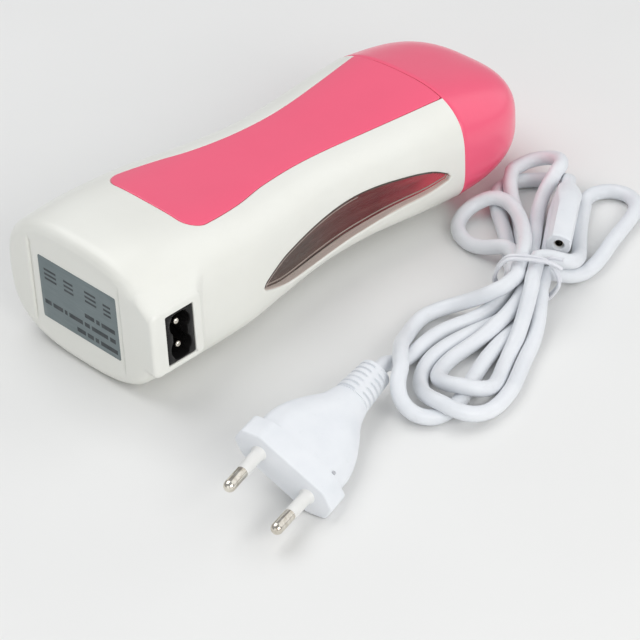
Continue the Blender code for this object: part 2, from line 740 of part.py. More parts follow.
def plug_frame():
    """Plug frame to heater frame: x out along the pins, y towards the raised pin, z out of the lower side."""
    yaw, nose, roll = (math.radians(a) for a in (PLUG_YAW, PLUG_NOSE_UP, PLUG_ROLL))
    along = Vector((math.cos(nose) * math.cos(yaw), math.cos(nose) * math.sin(yaw), math.sin(nose)))
    level = Vector((math.sin(yaw), -math.cos(yaw), 0.0))
    raised = level.cross(along)
    across = level * math.cos(roll) + raised * math.sin(roll)
    return basis(along, across, PLUG_AT)


def basis(x_axis, y_axis, origin):
    z_axis = x_axis.cross(y_axis)
    turn = Matrix((x_axis, y_axis, z_axis)).transposed().to_4x4()
    return Matrix.Translation(origin) @ turn


def plug_ring(behind, half_width, half_thick):
    shoulder = half_width - min(5.15, 0.6 * half_width)
    edge = 0.44 * half_thick
    corners = ((half_width, -edge), (half_width, edge), (shoulder, half_thick), (-shoulder, half_thick),
               (-half_width, edge), (-half_width, -edge), (-shoulder, -half_thick), (shoulder, -half_thick))
    return [(-behind, y, z) for y, z in rounded(corners, 1.6)]


def plug(mats):
    turn = plug_frame()
    half, flat = PLUG_BODY[0][1:]
    rings = [plug_ring(0.0, half - 0.5, flat - 0.5), plug_ring(0.5, half, flat)]
    rings += [plug_ring(*row) for row in PLUG_BODY[1:]]
    loft("plug_body", rings, mats["plug_white"], turn=turn)
    relief(turn, mats["plug_white"])
    for name, side in (("left", 1), ("right", -1)):
        root = Vector((GAP, side * PLUG_PIN_PITCH / 2, 0))
        tip = Vector((PLUG_PIN_LENGTH, side * PLUG_PIN_TIP_PITCH / 2, 0))
        direction = (tip - root).normalized()
        sleeve_end = root + direction * (PLUG_SLEEVE_LENGTH - GAP)
        ends = [turn @ p for p in (root, sleeve_end, sleeve_end + direction * GAP, tip)]
        rod(f"plug_sleeve_{name}", ends[0], ends[1], PLUG_PIN_RADIUS, mats["sleeve_cream"])
        length = (ends[3] - ends[2]).length
        profile = ((0, PLUG_PIN_RADIUS), (length - 1.2, PLUG_PIN_RADIUS), (length - 0.4, 1.6), (length, 1.0))
        turned(f"plug_pin_{name}", profile, ends[2], ends[3] - ends[2], mats["nickel"])


def relief(turn, mat):
    """The ribbed boot that guards the cord where it leaves the plug."""
    start = PLUG_BODY[-1][0] + GAP
    pitch = RELIEF_LENGTH / RELIEF_RIBS
    rings = []
    for rib in range(RELIEF_RIBS):
        x = start + rib * pitch
        for step, scale in ((0.0, 0.84), (0.25, 0.84), (0.4, 1.0), (0.85, 1.0)):
            shrink = 1 - 0.10 * (rib + step) / RELIEF_RIBS
            rings.append(relief_ring(x + step * pitch, scale * shrink))
    rings.append(relief_ring(start + RELIEF_LENGTH, 0.78))
    loft("plug_strain_relief", rings, mat, turn=turn)


def relief_ring(behind, scale, count=14):
    ring = []
    for i in range(count):
        angle = math.tau * i / count
        across, up = (half * scale for half in RELIEF_HALF)
        ring.append((-behind, across * math.cos(angle), up * math.sin(angle)))
    return ring


def connector_frame():
    """Connector frame to heater frame: x out of the face, y towards the upper contact."""
    along = (Vector(CONNECTOR_AT) - Vector(CONNECTOR_REAR)).normalized()
    level = along.cross(Vector((0, 0, 1))).normalized()
    tilt = math.radians(CONNECTOR_TILT)
    upright = level * -math.sin(tilt) + Vector((0, 0, 1)) * math.cos(tilt)
    return basis(along, upright, CONNECTOR_AT)


def connector(mats):
    turn = connector_frame()
    length = (Vector(CONNECTOR_AT) - Vector(CONNECTOR_REAR)).length
    rows = ((0.0, 7.6, 3.6), (0.4, 8.0, 4.0), (20.0, 8.0, 4.2), (26.0, 7.4, 4.4), (31.0, 6.0, 4.2),
            (length - 2.0, 4.4, 3.8), (length, 3.6, 3.3))
    rings = []
    for behind, half_length, half_width in rows:
        waist = half_width * 0.8
        rings.append([(-behind, b, a) for a, b in eight(half_length, half_width, waist)])
    body = loft("connector_body", rings, mats["plug_white"], turn=turn)
    for name, side in (("upper", 1), ("lower", -1)):
        y = side * PIN_PITCH / 2
        mouth, floor = turn @ Vector((1.0, y, 0)), turn @ Vector((-9.0, y, 0))
        modify(body, rod(f"guide_contact_{name}", mouth, floor, 1.75, mats["nickel"]), "DIFFERENCE")
        contact(f"connector_contact_{name}", turn, y, mats["nickel"])


def contact(name, turn, y, mat):
    rings = []
    for behind, radius in ((1.2, 1.5), (8.6, 1.5), (8.6, 1.25), (1.2, 1.25)):
        ring = []
        for i in range(12):
            angle = math.tau * i / 12
            ring.append((-behind, y + radius * math.cos(angle), radius * math.sin(angle)))
        rings.append(ring)
    loft(name, rings, mat, closed=True, turn=turn)


# ---------------------------------------------------------------- lead


def tie_frame(along, aside, height):
    """A point given along the bundle, across it and up, in the heater's frame."""
    turn = math.radians(TIE_TURN)
    x = TIE_AT[0] + along * math.cos(turn) + aside * math.sin(turn)
    y = TIE_AT[1] + along * math.sin(turn) - aside * math.cos(turn)
    return (x, y, height)


def lead_route():
    """The drawn middle line of the cord, from the plug's boot through the tie and on to the connector."""
    boot_end = PLUG_BODY[-1][0] + 2 * GAP + RELIEF_LENGTH
    rear = (Vector(CONNECTOR_AT) - Vector(CONNECTOR_REAR)).length + GAP
    route = [tuple(plug_frame() @ Vector((-boot_end - reach, 0, 0))) for reach in (0.0, 5.0)]
    for stretch, slot, direction in LEAD:
        route += stretch
        if slot:
            aside, height = TIE_SLOTS[slot]
            route += [tie_frame(direction * TIE_RUN * share, aside, height) for share in (-1, -0.4, 0.4, 1)]
    route += [tuple(connector_frame() @ Vector((-rear - reach, 0, 0))) for reach in (5.0, 0.0)]
    return route


def part_strands(line, free, pairs):
    """Push strands that cross or touch apart, to lie a diameter from each other."""
    first, second = pairs
    between = line[second] - line[first]
    distance = np.linalg.norm(between, axis=1)
    close = distance < CORD_SPACING
    first, second, distance = first[close], second[close], distance[close]
    push = between[close] * ((CORD_SPACING - distance) / np.maximum(distance, 1e-6))[:, None]
    share = free[first] / np.maximum(free[first] + free[second], 1.0)
    moves, counts = np.zeros_like(line), np.zeros(len(line))
    np.add.at(moves, first, -push * share[:, None])
    np.add.at(moves, second, push * (1 - share)[:, None] * free[second][:, None])
    np.add.at(counts, first, 1)
    np.add.at(counts, second, 1)
    return moves / np.maximum(0.6 * counts, 1)[:, None]


def stiffen(line, piece):
    """Take out kinks without shortening the loops, and open any bend tighter than the cord allows."""
    moves = np.zeros_like(line)
    for reach in (1, 2):
        bend = line[: -2 * reach] + line[2 * reach :] - 2 * line[reach:-reach]
        kink = bend[: -2 * reach] + bend[2 * reach :] - 2 * bend[reach:-reach]
        moves[2 * reach : -2 * reach] -= 0.05 * kink
    for span in (3, 5, 7):
        least = 2 * CORD_BEND * math.sin(min(span * piece / (2 * CORD_BEND), 1.45))
        chord = line[span:] - line[:-span]
        length = np.linalg.norm(chord, axis=1, keepdims=True)
        push = chord / length * np.maximum(least - length, 0) * 0.25
        moves[:-span] -= push
        moves[span:] += push
    return moves


def keep_spacing(line, piece):
    steps = np.diff(line, axis=0)
    lengths = np.linalg.norm(steps, axis=1, keepdims=True)
    moves = np.zeros_like(line)
    moves[:-1] += 0.5 * steps * (lengths - piece) / lengths
    moves[1:] -= 0.5 * steps * (lengths - piece) / lengths
    return moves


def clear_boot(line):
    """Keep the cord off the plug's boot, apart from its own first points."""
    start = np.array(plug_frame() @ Vector((-PLUG_BODY[-1][0], 0, 0)))
    run = np.array(lead_route()[0]) - start
    share = np.clip(((line - start) @ run) / (run @ run), 0, 1)
    away = line - start - share[:, None] * run
    distance = np.linalg.norm(away, axis=1)
    short = np.maximum(RELIEF_HALF[0] + CORD_RADIUS + GAP - distance, 0)
    short[:8] = 0
    return away / np.maximum(distance, 1e-6)[:, None] * short[:, None]


def clear_connector(line):
    """Keep the cord beside the connector, which stands on its narrow side and leans."""
    frame = connector_frame()
    start, end = np.array(CONNECTOR_AT), np.array(CONNECTOR_REAR)
    run = end - start
    lean = np.array(frame.col[1][:3]) / frame.col[1][2]
    middle = start + (line[:, 2] - start[2])[:, None] * lean
    share = ((line - middle) @ run) / (run @ run)
    away = line - middle - np.clip(share, 0, 1)[:, None] * run
    distance = np.linalg.norm(away, axis=1)
    reach = (CONNECTOR_HALF + CORD_RADIUS + GAP) / math.cos(math.radians(CONNECTOR_TILT))
    short = np.where(share < 1, np.maximum(reach - distance, 0), 0)
    return away / np.maximum(distance, 1e-6)[:, None] * short[:, None]


def clear_cap(line):
    """Keep the cord out of the space that the cap slides through."""
    moves = np.zeros_like(line)
    half_width, top, under, square = CASING[-1][1:]
    half_height, mid_z = (top - under) / 2, (top + under) / 2
    room = CORD_RADIUS + 2 * GAP
    across = abs(line[:, 1] / (half_width + room)) ** square
    upward = abs((line[:, 2] - mid_z) / (half_height + room)) ** square
    inside = (across + upward < 1) & (line[:, 0] > SEAM_X - 4)
    moves[inside, 1] = -np.minimum(6 * (1 - across - upward), 0.6)[inside]
    return moves


def settle(route, rounds=400):
    """Let the drawn cord come to rest: it lies on the surface and on itself, and keeps its own length."""
    line = np.array([tuple(point) for point in through(route, CORD_PIECE)])
    drawn = line.copy()
    piece = np.linalg.norm(np.diff(line, axis=0), axis=1).mean()
    turn = math.radians(TIE_TURN)
    from_tie = line[:, :2] - np.array(TIE_AT)
    along = from_tie @ np.array((math.cos(turn), math.sin(turn)))
    near_tie = np.linalg.norm(from_tie, axis=1) < 1.5 * TIE_RUN
    free = np.where((abs(along) < TIE_RUN - 1) & near_tie, 0.0, 1.0)
    free[:3] = 0.0
    free[-3:] = 0.0
    pairs = np.triu_indices(len(line), 5)
    for k in range(rounds):
        pull = 0.06 * (1 - 0.7 * k / rounds)
        line += free[:, None] * ((drawn - line) * (pull, pull, 0.0) - (0.0, 0.0, 0.04))
        line += free[:, None] * stiffen(line, piece)
        line += free[:, None] * keep_spacing(line, piece)
        for _ in range(2):
            line += part_strands(line, free, pairs)
        for clear in (clear_boot, clear_connector, clear_cap):
            line += free[:, None] * clear(line)
        line[:, 2] = np.maximum(line[:, 2], CORD_RADIUS + 0.1)
    return [Vector(point) for point in line]


def twist_tie(mat):
    """A thin covered wire wound twice round the bundle, with its two ends standing off above it."""
    turn = list(TIE_OUTLINE) + [(-across, height) for across, height in reversed(TIE_OUTLINE[1:])]
    winds = turn + turn
    points = [tie_frame(-TIE_PITCH - 0.6, 11.5, 15.5), tie_frame(-TIE_PITCH - 0.3, 7.6, 17.4)]
    for k, (across, height) in enumerate(winds):
        points.append(tie_frame(TIE_PITCH * (k / len(turn) - 1), across, height))
    points.append(tie_frame(0.9, 11.5, 17.0))
    return tube("twist_tie", through(points, 3.0), TIE_RADIUS, mat)


def main():
    clear_scene()
    mats = {
        "shell_ivory": material("shell_ivory", (0.86, 0.87, 0.82), 0.18),
        "panel_pink": material("panel_pink", (0.93, 0.13, 0.27), 0.2),
        "cap_pink": material("cap_pink", (0.90, 0.10, 0.25), 0.2),
        "cover_ivory": material("cover_ivory", (0.84, 0.85, 0.80), 0.3),
        "lens_clear": material("lens_clear", (0.55, 0.35, 0.33), 0.05, alpha=0.4),
        "chamber_aluminium": material("chamber_aluminium", (0.62, 0.60, 0.58), 0.35, 1.0),
        "inner_plastic": material("inner_plastic", (0.80, 0.80, 0.77), 0.5),
        "inlet_black": material("inlet_black", (0.02, 0.02, 0.02), 0.35),
        "nickel": material("nickel", (0.75, 0.72, 0.66), 0.2, 1.0),
        "screw_steel": material("screw_steel", (0.55, 0.55, 0.56), 0.35, 1.0),
        "spring_steel": material("spring_steel", (0.66, 0.67, 0.68), 0.3, 1.0),
        "heater_ceramic": material("heater_ceramic", (0.70, 0.55, 0.40), 0.7),
        "insulation": material("insulation", (0.75, 0.62, 0.30), 0.6),
        "label_grey": material("label_grey", (0.22, 0.27, 0.30), 0.4),
        "live": material("wire_brown", (0.20, 0.08, 0.03), 0.5),
        "neutral": material("wire_blue", (0.05, 0.15, 0.45), 0.5),
        "plug_white": material("plug_white", (0.80, 0.83, 0.86), 0.35),
        "sleeve_cream": material("sleeve_cream", (0.85, 0.82, 0.72), 0.4),
        "cord_white": material("cord_white", (0.82, 0.85, 0.88), 0.4),
        "tie_white": material("tie_white", (0.85, 0.85, 0.87), 0.4),
    }
    main_shell(mats["shell_ivory"])
    front_panel(mats["panel_pink"])
    back_cover(mats["cover_ivory"])
    back_screw("back_screw_1", 1, mats["screw_steel"])
    back_screw("back_screw_2", -1, mats["screw_steel"])
    cap(mats["cap_pink"])
    cap_collar(mats["inner_plastic"])
    window_lens(mats["lens_clear"])
    chamber(mats["chamber_aluminium"])
    bulkhead(mats["inner_plastic"])
    cartridge_spring(mats["spring_steel"])
    thermal_parts(mats["screw_steel"], mats["heater_ceramic"], mats["insulation"])
    inlet_socket(mats["inlet_black"])
    inlet_pin("inlet_pin_upper", 1, mats["nickel"])
    inlet_pin("inlet_pin_lower", -1, mats["nickel"])
    crimp("crimp_live", 1, mats["nickel"])
    crimp("crimp_neutral", -1, mats["nickel"])
    wiring(mats)
    rating_label(mats["label_grey"])
    plug(mats)
    connector(mats)
    lead = settle(lead_route())
    line = lead[:1] + through(lead[2:-2], CORD_STEP) + lead[-1:]
    tube("power_cord", line, CORD_RADIUS, mats["cord_white"], sides_level=3)
    twist_tie(mats["tie_white"])


main()
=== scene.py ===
"""Looks of the handheld wax cartridge heater and its mains lead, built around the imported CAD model.

Lengths are in millimetres in the heater's own frame: x from the base end to the cap, y across, z up through
the pink front panel. place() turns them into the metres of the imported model.
"""

import json
import math

import bmesh
import bpy
import numpy as np
from mathutils import Matrix, Vector
from mathutils.geometry import delaunay_2d_cdt

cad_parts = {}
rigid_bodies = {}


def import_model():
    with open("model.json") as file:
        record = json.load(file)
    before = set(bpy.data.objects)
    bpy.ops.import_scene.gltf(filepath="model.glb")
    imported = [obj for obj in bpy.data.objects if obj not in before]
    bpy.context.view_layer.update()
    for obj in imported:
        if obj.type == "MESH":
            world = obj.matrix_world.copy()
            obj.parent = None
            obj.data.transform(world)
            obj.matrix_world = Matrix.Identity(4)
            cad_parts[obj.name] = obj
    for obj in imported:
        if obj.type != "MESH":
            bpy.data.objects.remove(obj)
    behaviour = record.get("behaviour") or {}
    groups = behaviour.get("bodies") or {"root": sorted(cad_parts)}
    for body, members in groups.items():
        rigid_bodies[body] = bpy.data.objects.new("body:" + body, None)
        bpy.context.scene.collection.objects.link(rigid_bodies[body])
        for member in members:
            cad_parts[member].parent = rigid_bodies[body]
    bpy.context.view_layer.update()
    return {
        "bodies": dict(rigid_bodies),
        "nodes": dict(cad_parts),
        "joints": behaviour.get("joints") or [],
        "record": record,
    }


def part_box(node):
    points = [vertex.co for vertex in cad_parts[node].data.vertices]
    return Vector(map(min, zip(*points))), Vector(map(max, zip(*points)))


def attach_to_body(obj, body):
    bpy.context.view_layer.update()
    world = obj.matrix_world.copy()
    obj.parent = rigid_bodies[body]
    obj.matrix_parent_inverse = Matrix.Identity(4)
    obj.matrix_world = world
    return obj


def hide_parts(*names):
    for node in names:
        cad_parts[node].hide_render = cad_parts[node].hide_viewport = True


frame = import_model()

MM = 0.001
WELD = 0.004 * MM               # points closer than this become one
GAP = 0.3                       # between pieces that fit into each other

# ---- the heater's own frame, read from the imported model
shell_low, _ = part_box("main_shell")
cap_low, cap_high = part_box("cap")
ORIGIN = np.array((shell_low.x, (cap_low.y + cap_high.y) / 2, 0.0))

# ---- casing, as in the CAD model: distance from the base end, half width, top, underside, squareness
SEAM_X = 142.5
CAP_LENGTH = 37.5
WALL = 2.4
BASE_EDGE = 3.4
CASING = (
    (0.0, 33.4, 47.6, 0.3, 2.8),
    (16.0, 32.9, 48.2, -0.3, 3.1),
    (34.0, 32.8, 46.3, 0.6, 3.5),
    (48.0, 32.1, 44.4, 1.8, 3.8),
    (62.0, 29.6, 43.0, 2.4, 3.9),
    (84.0, 27.0, 41.6, 3.1, 3.8),
    (104.0, 28.1, 40.8, 3.4, 3.6),
    (124.0, 30.6, 41.1, 1.8, 3.4),
    (SEAM_X, 32.0, 42.2, -0.3, 3.1),
)
CAP_WALL = 1.8
CAP_EDGE = 0.35                 # rounding at the seam
CAP_FLARE = 3.8
CAP_FLARE_POWER = 1.8
CAP_TOP_FALL = 7.5
CAP_UNDER_RISE = 10.5
CAP_PLAN_POWER = 2.8
CAP_SIDE_POWER = 5.4
SEAM_BOW = (1.8, -1.0)          # how far the seam bows towards the cap at the middle and at the sides
SEAM_BOW_REACH = 14.0
SEAM_WALL = ((0.15, 0.12), (WALL - 0.4, 0.0), (0.2, -0.2), (0.0, -4.2))     # (inset, along) behind the seam

# ---- collar that the cap pushes onto
NECK_BACK = 12.0                # how far it reaches into the casing
NECK_REACH = 7.0                # and out of it
NECK_WALL = 1.8
NECK_MOUTH = (23.4, 13.6, 22.6, 4.2)    # half width, half height, middle height and squareness
NECK_MOUTH_BACK = 140.5

# ---- front panel, window and back cover
PANEL = (
    (31.2, 20.4),
    (37.5, 20.8),
    (52.0, 19.0),
    (66.0, 15.8),
    (84.0, 14.1),
    (104.0, 15.0),
    (SEAM_X - GAP, 20.4),
)
PANEL_CORNER = 6.0
PANEL_DENT = 1.4                # depth of the recess that the panel lies in
PANEL_CLEARANCE = 0.13
WINDOW = (
    (49.6, 17.8, 19.8),
    (54.0, 15.6, 21.8),
    (63.0, 12.4, 24.6),
    (80.0, 11.2, 27.2),
    (97.0, 13.2, 28.6),
    (114.0, 15.1, 26.8),
    (127.0, 15.8, 23.8),
    (135.8, 17.2, 19.2),
)
PANE_DEPTH = (1.9, 3.2)         # of the pane behind the window, at the tips and in the middle
PANE_GAP = 0.15
COVER_X = (24.0, 127.0)
COVER_HALF = 17.0
COVER_CORNER = 6.0
COVER_DENT = 2.0
COVER_CLEARANCE = 0.15
DENT_FILLET = 0.3
WINDOW_FILLET = 0.45
LENS_CLEARANCE = 0.12
PANE_OVERLAP = 1.6
BEAD_INSET = 0.45
BEAD_RADIUS = 0.24
LENS_SHADE_BAND = (0.05, 0.60)         # painted shade and painted highlight lines along the lens's upper edge, from the edge inwards
LENS_HIGHLIGHT_BAND = (0.83, 1.10)
LENS_HIGHLIGHT_END = 96.0

# ---- where the top, the underside and the near side of the casing are
TOP_Z = 24.0
UNDER_Z = 20.0
NEAR_Y = -8.0

# ---- how finely the casing is meshed
LINE_STEP = 0.7                 # between the points of an outline
GRID_PITCH = 1.15
BOSS_GRID = (25.0, 2.55, 3.75)  # the finer grid at the boss: its end along the skin and its two angles
BOSS_GRID_PITCH = 0.6
INLAY_PITCH = 1.1
SEAM_POINTS = 131

# ---- base end
BASE_RECESS = 0.5
BASE_RECESS_HALF = 21.0
BASE_GROOVE = 0.8
BASE_GROOVE_WIDTH = 0.22
BASE_FADE = 3.2                 # how far from the edge the recess reaches its full depth
BASE_PITCH = 1.6
BOSS_X = (-0.1, 20.7)
BOSS_Z = (12.5, 36.0)
BOSS_REACH = 35.8
BOSS_ROUND = 2.6
BOSS_FILLET = 1.4
BOSS_RIM = 0.35                 # rounding of the opening in its front
BOSS_JUNCTION = 2.2             # reach of the rounding where it meets the casing
BOSS_FAR = (34.0, -20.0)        # x and y beyond which there is no such rounding
BOSS_WALL_STEP = 4.0            # each of the two steps of the opening's wall
BOSS_FLARE = (1.5, 0.8)         # how fast it widens towards the cap and upwards, behind its front
INLET_X = 11.2
INLET_Z = 24.1
INLET_WIDTH = 11.0
INLET_HEIGHT = 18.0
PIN_PITCH = 8.6
SOCKET_FRONT = -35.5
SOCKET_RADIUS = 4.1
SOCKET_WAIST = 3.0
SOCKET_DEPTH = 9.4
INLET_PIN_RADIUS = 1.2
INLET_PIN_LENGTH = 13.9
LABEL_Y = (-19.0, 17.2)
LABEL_Z = (11.6, 35.0)
LABEL_THICKNESS = 0.14
LABEL_BAR = 0.8                 # thickness and pitch of the bars in a block, and height and gaps of the words
LABEL_BAR_PITCH = 1.7
LABEL_WORD = 1.6
LABEL_WORD_GAP = 0.9
LABEL_BLOCKS = ((11.9, 28.9, 5.6), (3.3, 28.6, 4.4), (-7.0, 29.2, 5.2), (-14.6, 28.4, 3.4))  # y, z, width
LABEL_LINES = (                 # right end, height and the words' widths
    (-17.5, 20.8, (4.4, 1.6, 6.2)),
    (-17.4, 17.2, (3.0, 4.6, 1.2, 6.4, 2.4, 7.6, 2.6)),
    (-17.9, 13.4, (4.0, 2.8, 1.6, 7.8)),
)

# ---- lead
CORD_RADIUS = 2.5
CORD_PIECE = 3.0
CORD_SPACING = 2 * CORD_RADIUS + 0.25
CORD_BEND = 9.0
CORD_STEP = 1.6
SETTLE_ROUNDS = 400
SETTLE_PULL = 0.06              # share of the way back to the drawn line in each round
SETTLE_SAG = 0.04
CORD_LIFT = 0.1                 # above the floor
CORD_NEIGHBOURS = 5             # pieces along the cord that can't touch each other
BOOT_CLEAR_FROM = 8             # first point of the cord that has to keep off the plug's boot
CAP_PUSH = (6.0, 0.6)           # how hard and at most how far the cord is pushed out of the cap's way
PLUG_AT = (-4.4, -94.8, 11.7)
PLUG_YAW = -163.2
PLUG_NOSE_UP = 3.0
PLUG_ROLL = 33.0
PLUG_PIN_PITCH = 18.6
PLUG_PIN_TIP_PITCH = 18.0
PLUG_PIN_LENGTH = 19.0
PLUG_PIN_RADIUS = 2.0
PLUG_PIN_ROOT = 0.6             # how far the sleeves start inside the plug
PLUG_SLEEVE_LENGTH = 10.5
PLUG_FLANGE = (                 # behind the front face, half width, half thickness and corner
    (0.0, 17.1, 4.7, 0.9),
    (0.1, 17.35, 4.95, 0.9),
    (0.3, 17.55, 5.12, 1.0),
    (0.6, 17.65, 5.2, 1.0),
    (8.0, 17.65, 5.2, 1.0),
    (8.3, 17.55, 5.2, 1.0),
    (8.5, 17.3, 5.2, 1.0),
    (8.7, 15.9, 5.2, 1.2),
    (9.0, 15.4, 5.2, 1.5),
)
PLUG_BODY = (                   # as in the CAD model, without corners; the last six rows are the grip
    (0.0, 17.65, 5.2),
    (8.4, 17.65, 5.2),
    (9.0, 15.4, 5.2),
    (16.0, 15.2, 5.2),
    (22.5, 13.6, 5.1),
    (29.0, 10.8, 5.0),
    (35.0, 7.8, 4.8),
    (41.0, 6.2, 4.6),
)
GATE_MARK_AT = (9.3, -10.6)     # behind the front face and to the right, on the upper side
RELIEF_LENGTH = 16.0
RELIEF_HALF = (5.9, 4.7)
RELIEF_RIBS = 6
BOOT_RINGS = 150
BOOT_GROOVE = 0.20              # share of the section that a groove takes away
BOOT_GROOVE_HALF = 0.17         # share of the pitch
BOOT_SPINE = 0.10
CONNECTOR_AT = (134.5, -77.0, 8.2)
CONNECTOR_REAR = (166.0, -55.5, 8.2)
CONNECTOR_TILT = 18.0
CONNECTOR_HALF = 4.2
CONNECTOR_LENGTH = (Vector(CONNECTOR_AT) - Vector(CONNECTOR_REAR)).length
CONNECTOR_BODY = (              # behind the face, half length and half width
    (0.0, 7.7, 3.75),
    (0.4, 8.0, 4.05),
    (8.0, 8.0, 4.15),
    (20.0, 8.0, 4.2),
    (26.0, 7.4, 4.4),
    (31.0, 6.2, 4.25),
    (CONNECTOR_LENGTH - 2.0, 4.5, 3.8),
    (CONNECTOR_LENGTH, 3.5, 3.2),
)
CONTACT_HOLE = ((-1.0, 2.2), (0.0, 2.0), (0.35, 1.72), (9.4, 1.72))     # depth and radius
TIE_AT = (118.0, -80.0)
TIE_TURN = 33.0
TIE_RUN = 7.5
TIE_RADIUS = 0.65
TIE_SLOTS = {
    "far low": (-2.6, 4.4),
    "near low": (2.6, 4.4),
    "far": (-5.2, 8.9),
    "middle": (0.0, 8.9),
    "near": (5.2, 8.9),
    "far top": (-2.6, 13.4),
    "near top": (2.6, 13.4),
}
TIE_OUTLINE = ((0.0, 17.8), (-6.8, 16.4), (-10.3, 9.0), (-7.2, 2.8), (-2.6, 0.7))
TIE_PITCH = 1.7
TIE_START = ((-2.3, 11.5, 15.5), (-2.0, 7.6, 17.4))     # the free ends: along the bundle, across it and up
TIE_END = (0.9, 11.5, 17.0)
LEAD = (
    # from the plug, over the surface to the tie
    (((63, -77, 7.5), (72, -74.5, 5), (82, -72, 2.6), (92, -73, 2.6), (99, -77, 5)), "far", 1),
    # the loop nearest the casing
    (((130, -67, 5), (128.5, -60, 2.6), (126, -53, 2.6), (127, -46, 2.6), (132, -39.5, 2.6), (139, -36, 2.6),
      (144, -36, 6), (147, -38, 10), (148, -42, 12), (146.5, -47, 12.5), (143.5, -52, 12.5), (140, -58, 12),
      (136, -64, 12), (131, -70, 12)), "far top", -1),
    # the widest loop on the plug's side
    (((105, -80, 11), (102, -72, 9), (98, -65.5, 7), (92, -62.5, 7), (85, -64, 8), (76, -68.5, 11),
      (65, -75, 13), (56, -80.5, 13.6), (51, -84, 11.5), (49, -89, 6), (48.5, -95, 3), (51, -100, 2.6),
      (57, -102, 2.6), (65, -100, 2.6), (75, -96, 2.6), (87, -92, 2.6), (98, -89, 2.6)), "near low", 1),
    # the small loop that passes over the cord of the connector
    (((134, -72, 2.6), (141, -61, 2.6), (147, -53, 2.6), (153, -45, 2.6), (157, -38.5, 5), (162, -34.5, 7.8),
      (169, -31.5, 5), (175, -31, 3), (177, -35, 4), (172, -40, 7.8), (165, -43.5, 7.8), (159, -47, 5),
      (154, -53, 2.6), (147, -61, 2.6), (139, -68.5, 4)), "middle", -1),
    # the inner loop on the plug's side
    (((106, -86.5, 8), (99, -87, 8), (92, -86.5, 8), (86, -84.5, 8), (80, -83.5, 6), (74, -86, 4),
      (69, -91, 4.5), (65, -97, 7), (64, -103, 8), (68, -105, 6), (75, -102.5, 3.5), (84, -98.5, 2.6),
      (94, -94, 2.6), (102, -91, 6)), "near top", 1),
    # the loop beyond the connector
    (((131, -81, 10), (141, -79, 6), (151, -73.5, 3), (157, -68, 2.6), (162, -63, 2.6), (168, -59, 2.6),
      (174, -57.5, 2.6), (180, -58.5, 2.6), (183, -63, 2.6), (181, -68.5, 2.6), (176, -73, 2.6),
      (169, -76.5, 2.6), (158, -80, 2.6), (148, -83.5, 2.6), (138, -87, 4)), "near", -1),
    # the nearest loop on the plug's side
    (((106, -96, 5), (96, -99.5, 2.6), (86, -104, 2.6), (76, -108.5, 2.6), (68, -110.5, 4), (60, -110, 7.8),
      (54.5, -106, 8), (55, -99, 5.5), (58.5, -92, 3), (63, -86, 2.6), (69, -81, 2.6), (77, -79, 2.6),
      (86, -80, 2.6), (97, -83, 2.6)), "far low", 1),
    # round to the connector
    (((131, -67, 2.6), (137, -57, 2.6), (143, -47, 2.6), (149, -39, 2.6), (155, -33, 2.6), (161, -31, 2.6),
      (166, -34, 2.6), (170, -40, 3), (171.5, -46, 5)), None, 0),
)

# ---- camera, light and floor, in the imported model's metres
CAMERA_AT = (-0.5033, -0.5492, 0.5142)
CAMERA_TARGET = (-0.04164, -0.05635, 0.02)
CAMERA_ROLL = -2.9506           # degrees
CAMERA_LENS = 154.2
LIGHT_TARGET = (0.0, -0.02, 0.02)
FLOOR_HALF = 4.0


# ---------------------------------------------------------------- helpers


def place(points):
    """Points of the heater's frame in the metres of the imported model."""
    return np.asarray(points, float) * MM + ORIGIN


def spread(first, last, count):
    """Evenly spaced numbers, both ends among them."""
    return [first + (last - first) * i / (count - 1) for i in range(count)]


def smooth_row(rows, x):
    """Read a table of stations at x with a smooth curve through each column."""
    i = max(0, min(len(rows) - 2, sum(1 for row in rows if row[0] <= x) - 1))
    a, b = rows[i], rows[i + 1]
    before = rows[max(i - 1, 0)]
    after = rows[min(i + 2, len(rows) - 1)]
    span = b[0] - a[0]
    t = max(0.0, min(1.0, (x - a[0]) / span))
    values = []
    for k in range(1, len(a)):
        slope_a = (b[k] - before[k]) / (b[0] - before[0])
        slope_b = (after[k] - a[k]) / (after[0] - a[0])
        values.append(
            a[k] * (2 * t**3 - 3 * t**2 + 1)
            + slope_a * span * (t**3 - 2 * t**2 + t)
            + b[k] * (3 * t**2 - 2 * t**3)
            + slope_b * span * (t**3 - t**2)
        )
    return values


def weld(data, distance):
    """Merge a mesh's doubled points and turn its faces outwards."""
    work = bmesh.new()
    work.from_mesh(data)
    bmesh.ops.remove_doubles(work, verts=work.verts, dist=distance)
    bmesh.ops.recalc_face_normals(work, faces=work.faces)
    work.to_mesh(data)
    work.free()


def add_object(name, data):
    """A new object in the scene that holds the data."""
    obj = bpy.data.objects.new(name, data)
    bpy.context.scene.collection.objects.link(obj)
    return obj


def mesh_piece(name, points, faces, mat, body="heater", slot=None, replaces=(), sharp=35.0):
    """A mesh object from heater-frame points, shaded smooth, that rides on a body of the model."""
    data = bpy.data.meshes.new(name)
    data.from_pydata(place(points).tolist(), [], faces)
    data.update()
    weld(data, WELD)
    data.shade_smooth()
    data.set_sharp_from_angle(angle=math.radians(sharp))
    data.materials.append(mat)
    return attach(add_object(name, data), body, replaces)


def attach(obj, body="heater", replaces=()):
    """Let an object ride on a body, and hide the CAD parts it replaces."""
    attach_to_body(obj, body)
    if replaces:
        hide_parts(*replaces)
    return obj


def face_middles(obj):
    """The middle of every face, in the heater's frame."""
    return (np.array([tuple(face.center) for face in obj.data.polygons]) - ORIGIN) / MM


def paint(obj, mat, chosen):
    """Give the chosen faces another material."""
    obj.data.materials.append(mat)
    index = np.array([face.material_index for face in obj.data.polygons])
    index[chosen] = len(obj.data.materials) - 1
    obj.data.polygons.foreach_set("material_index", index)


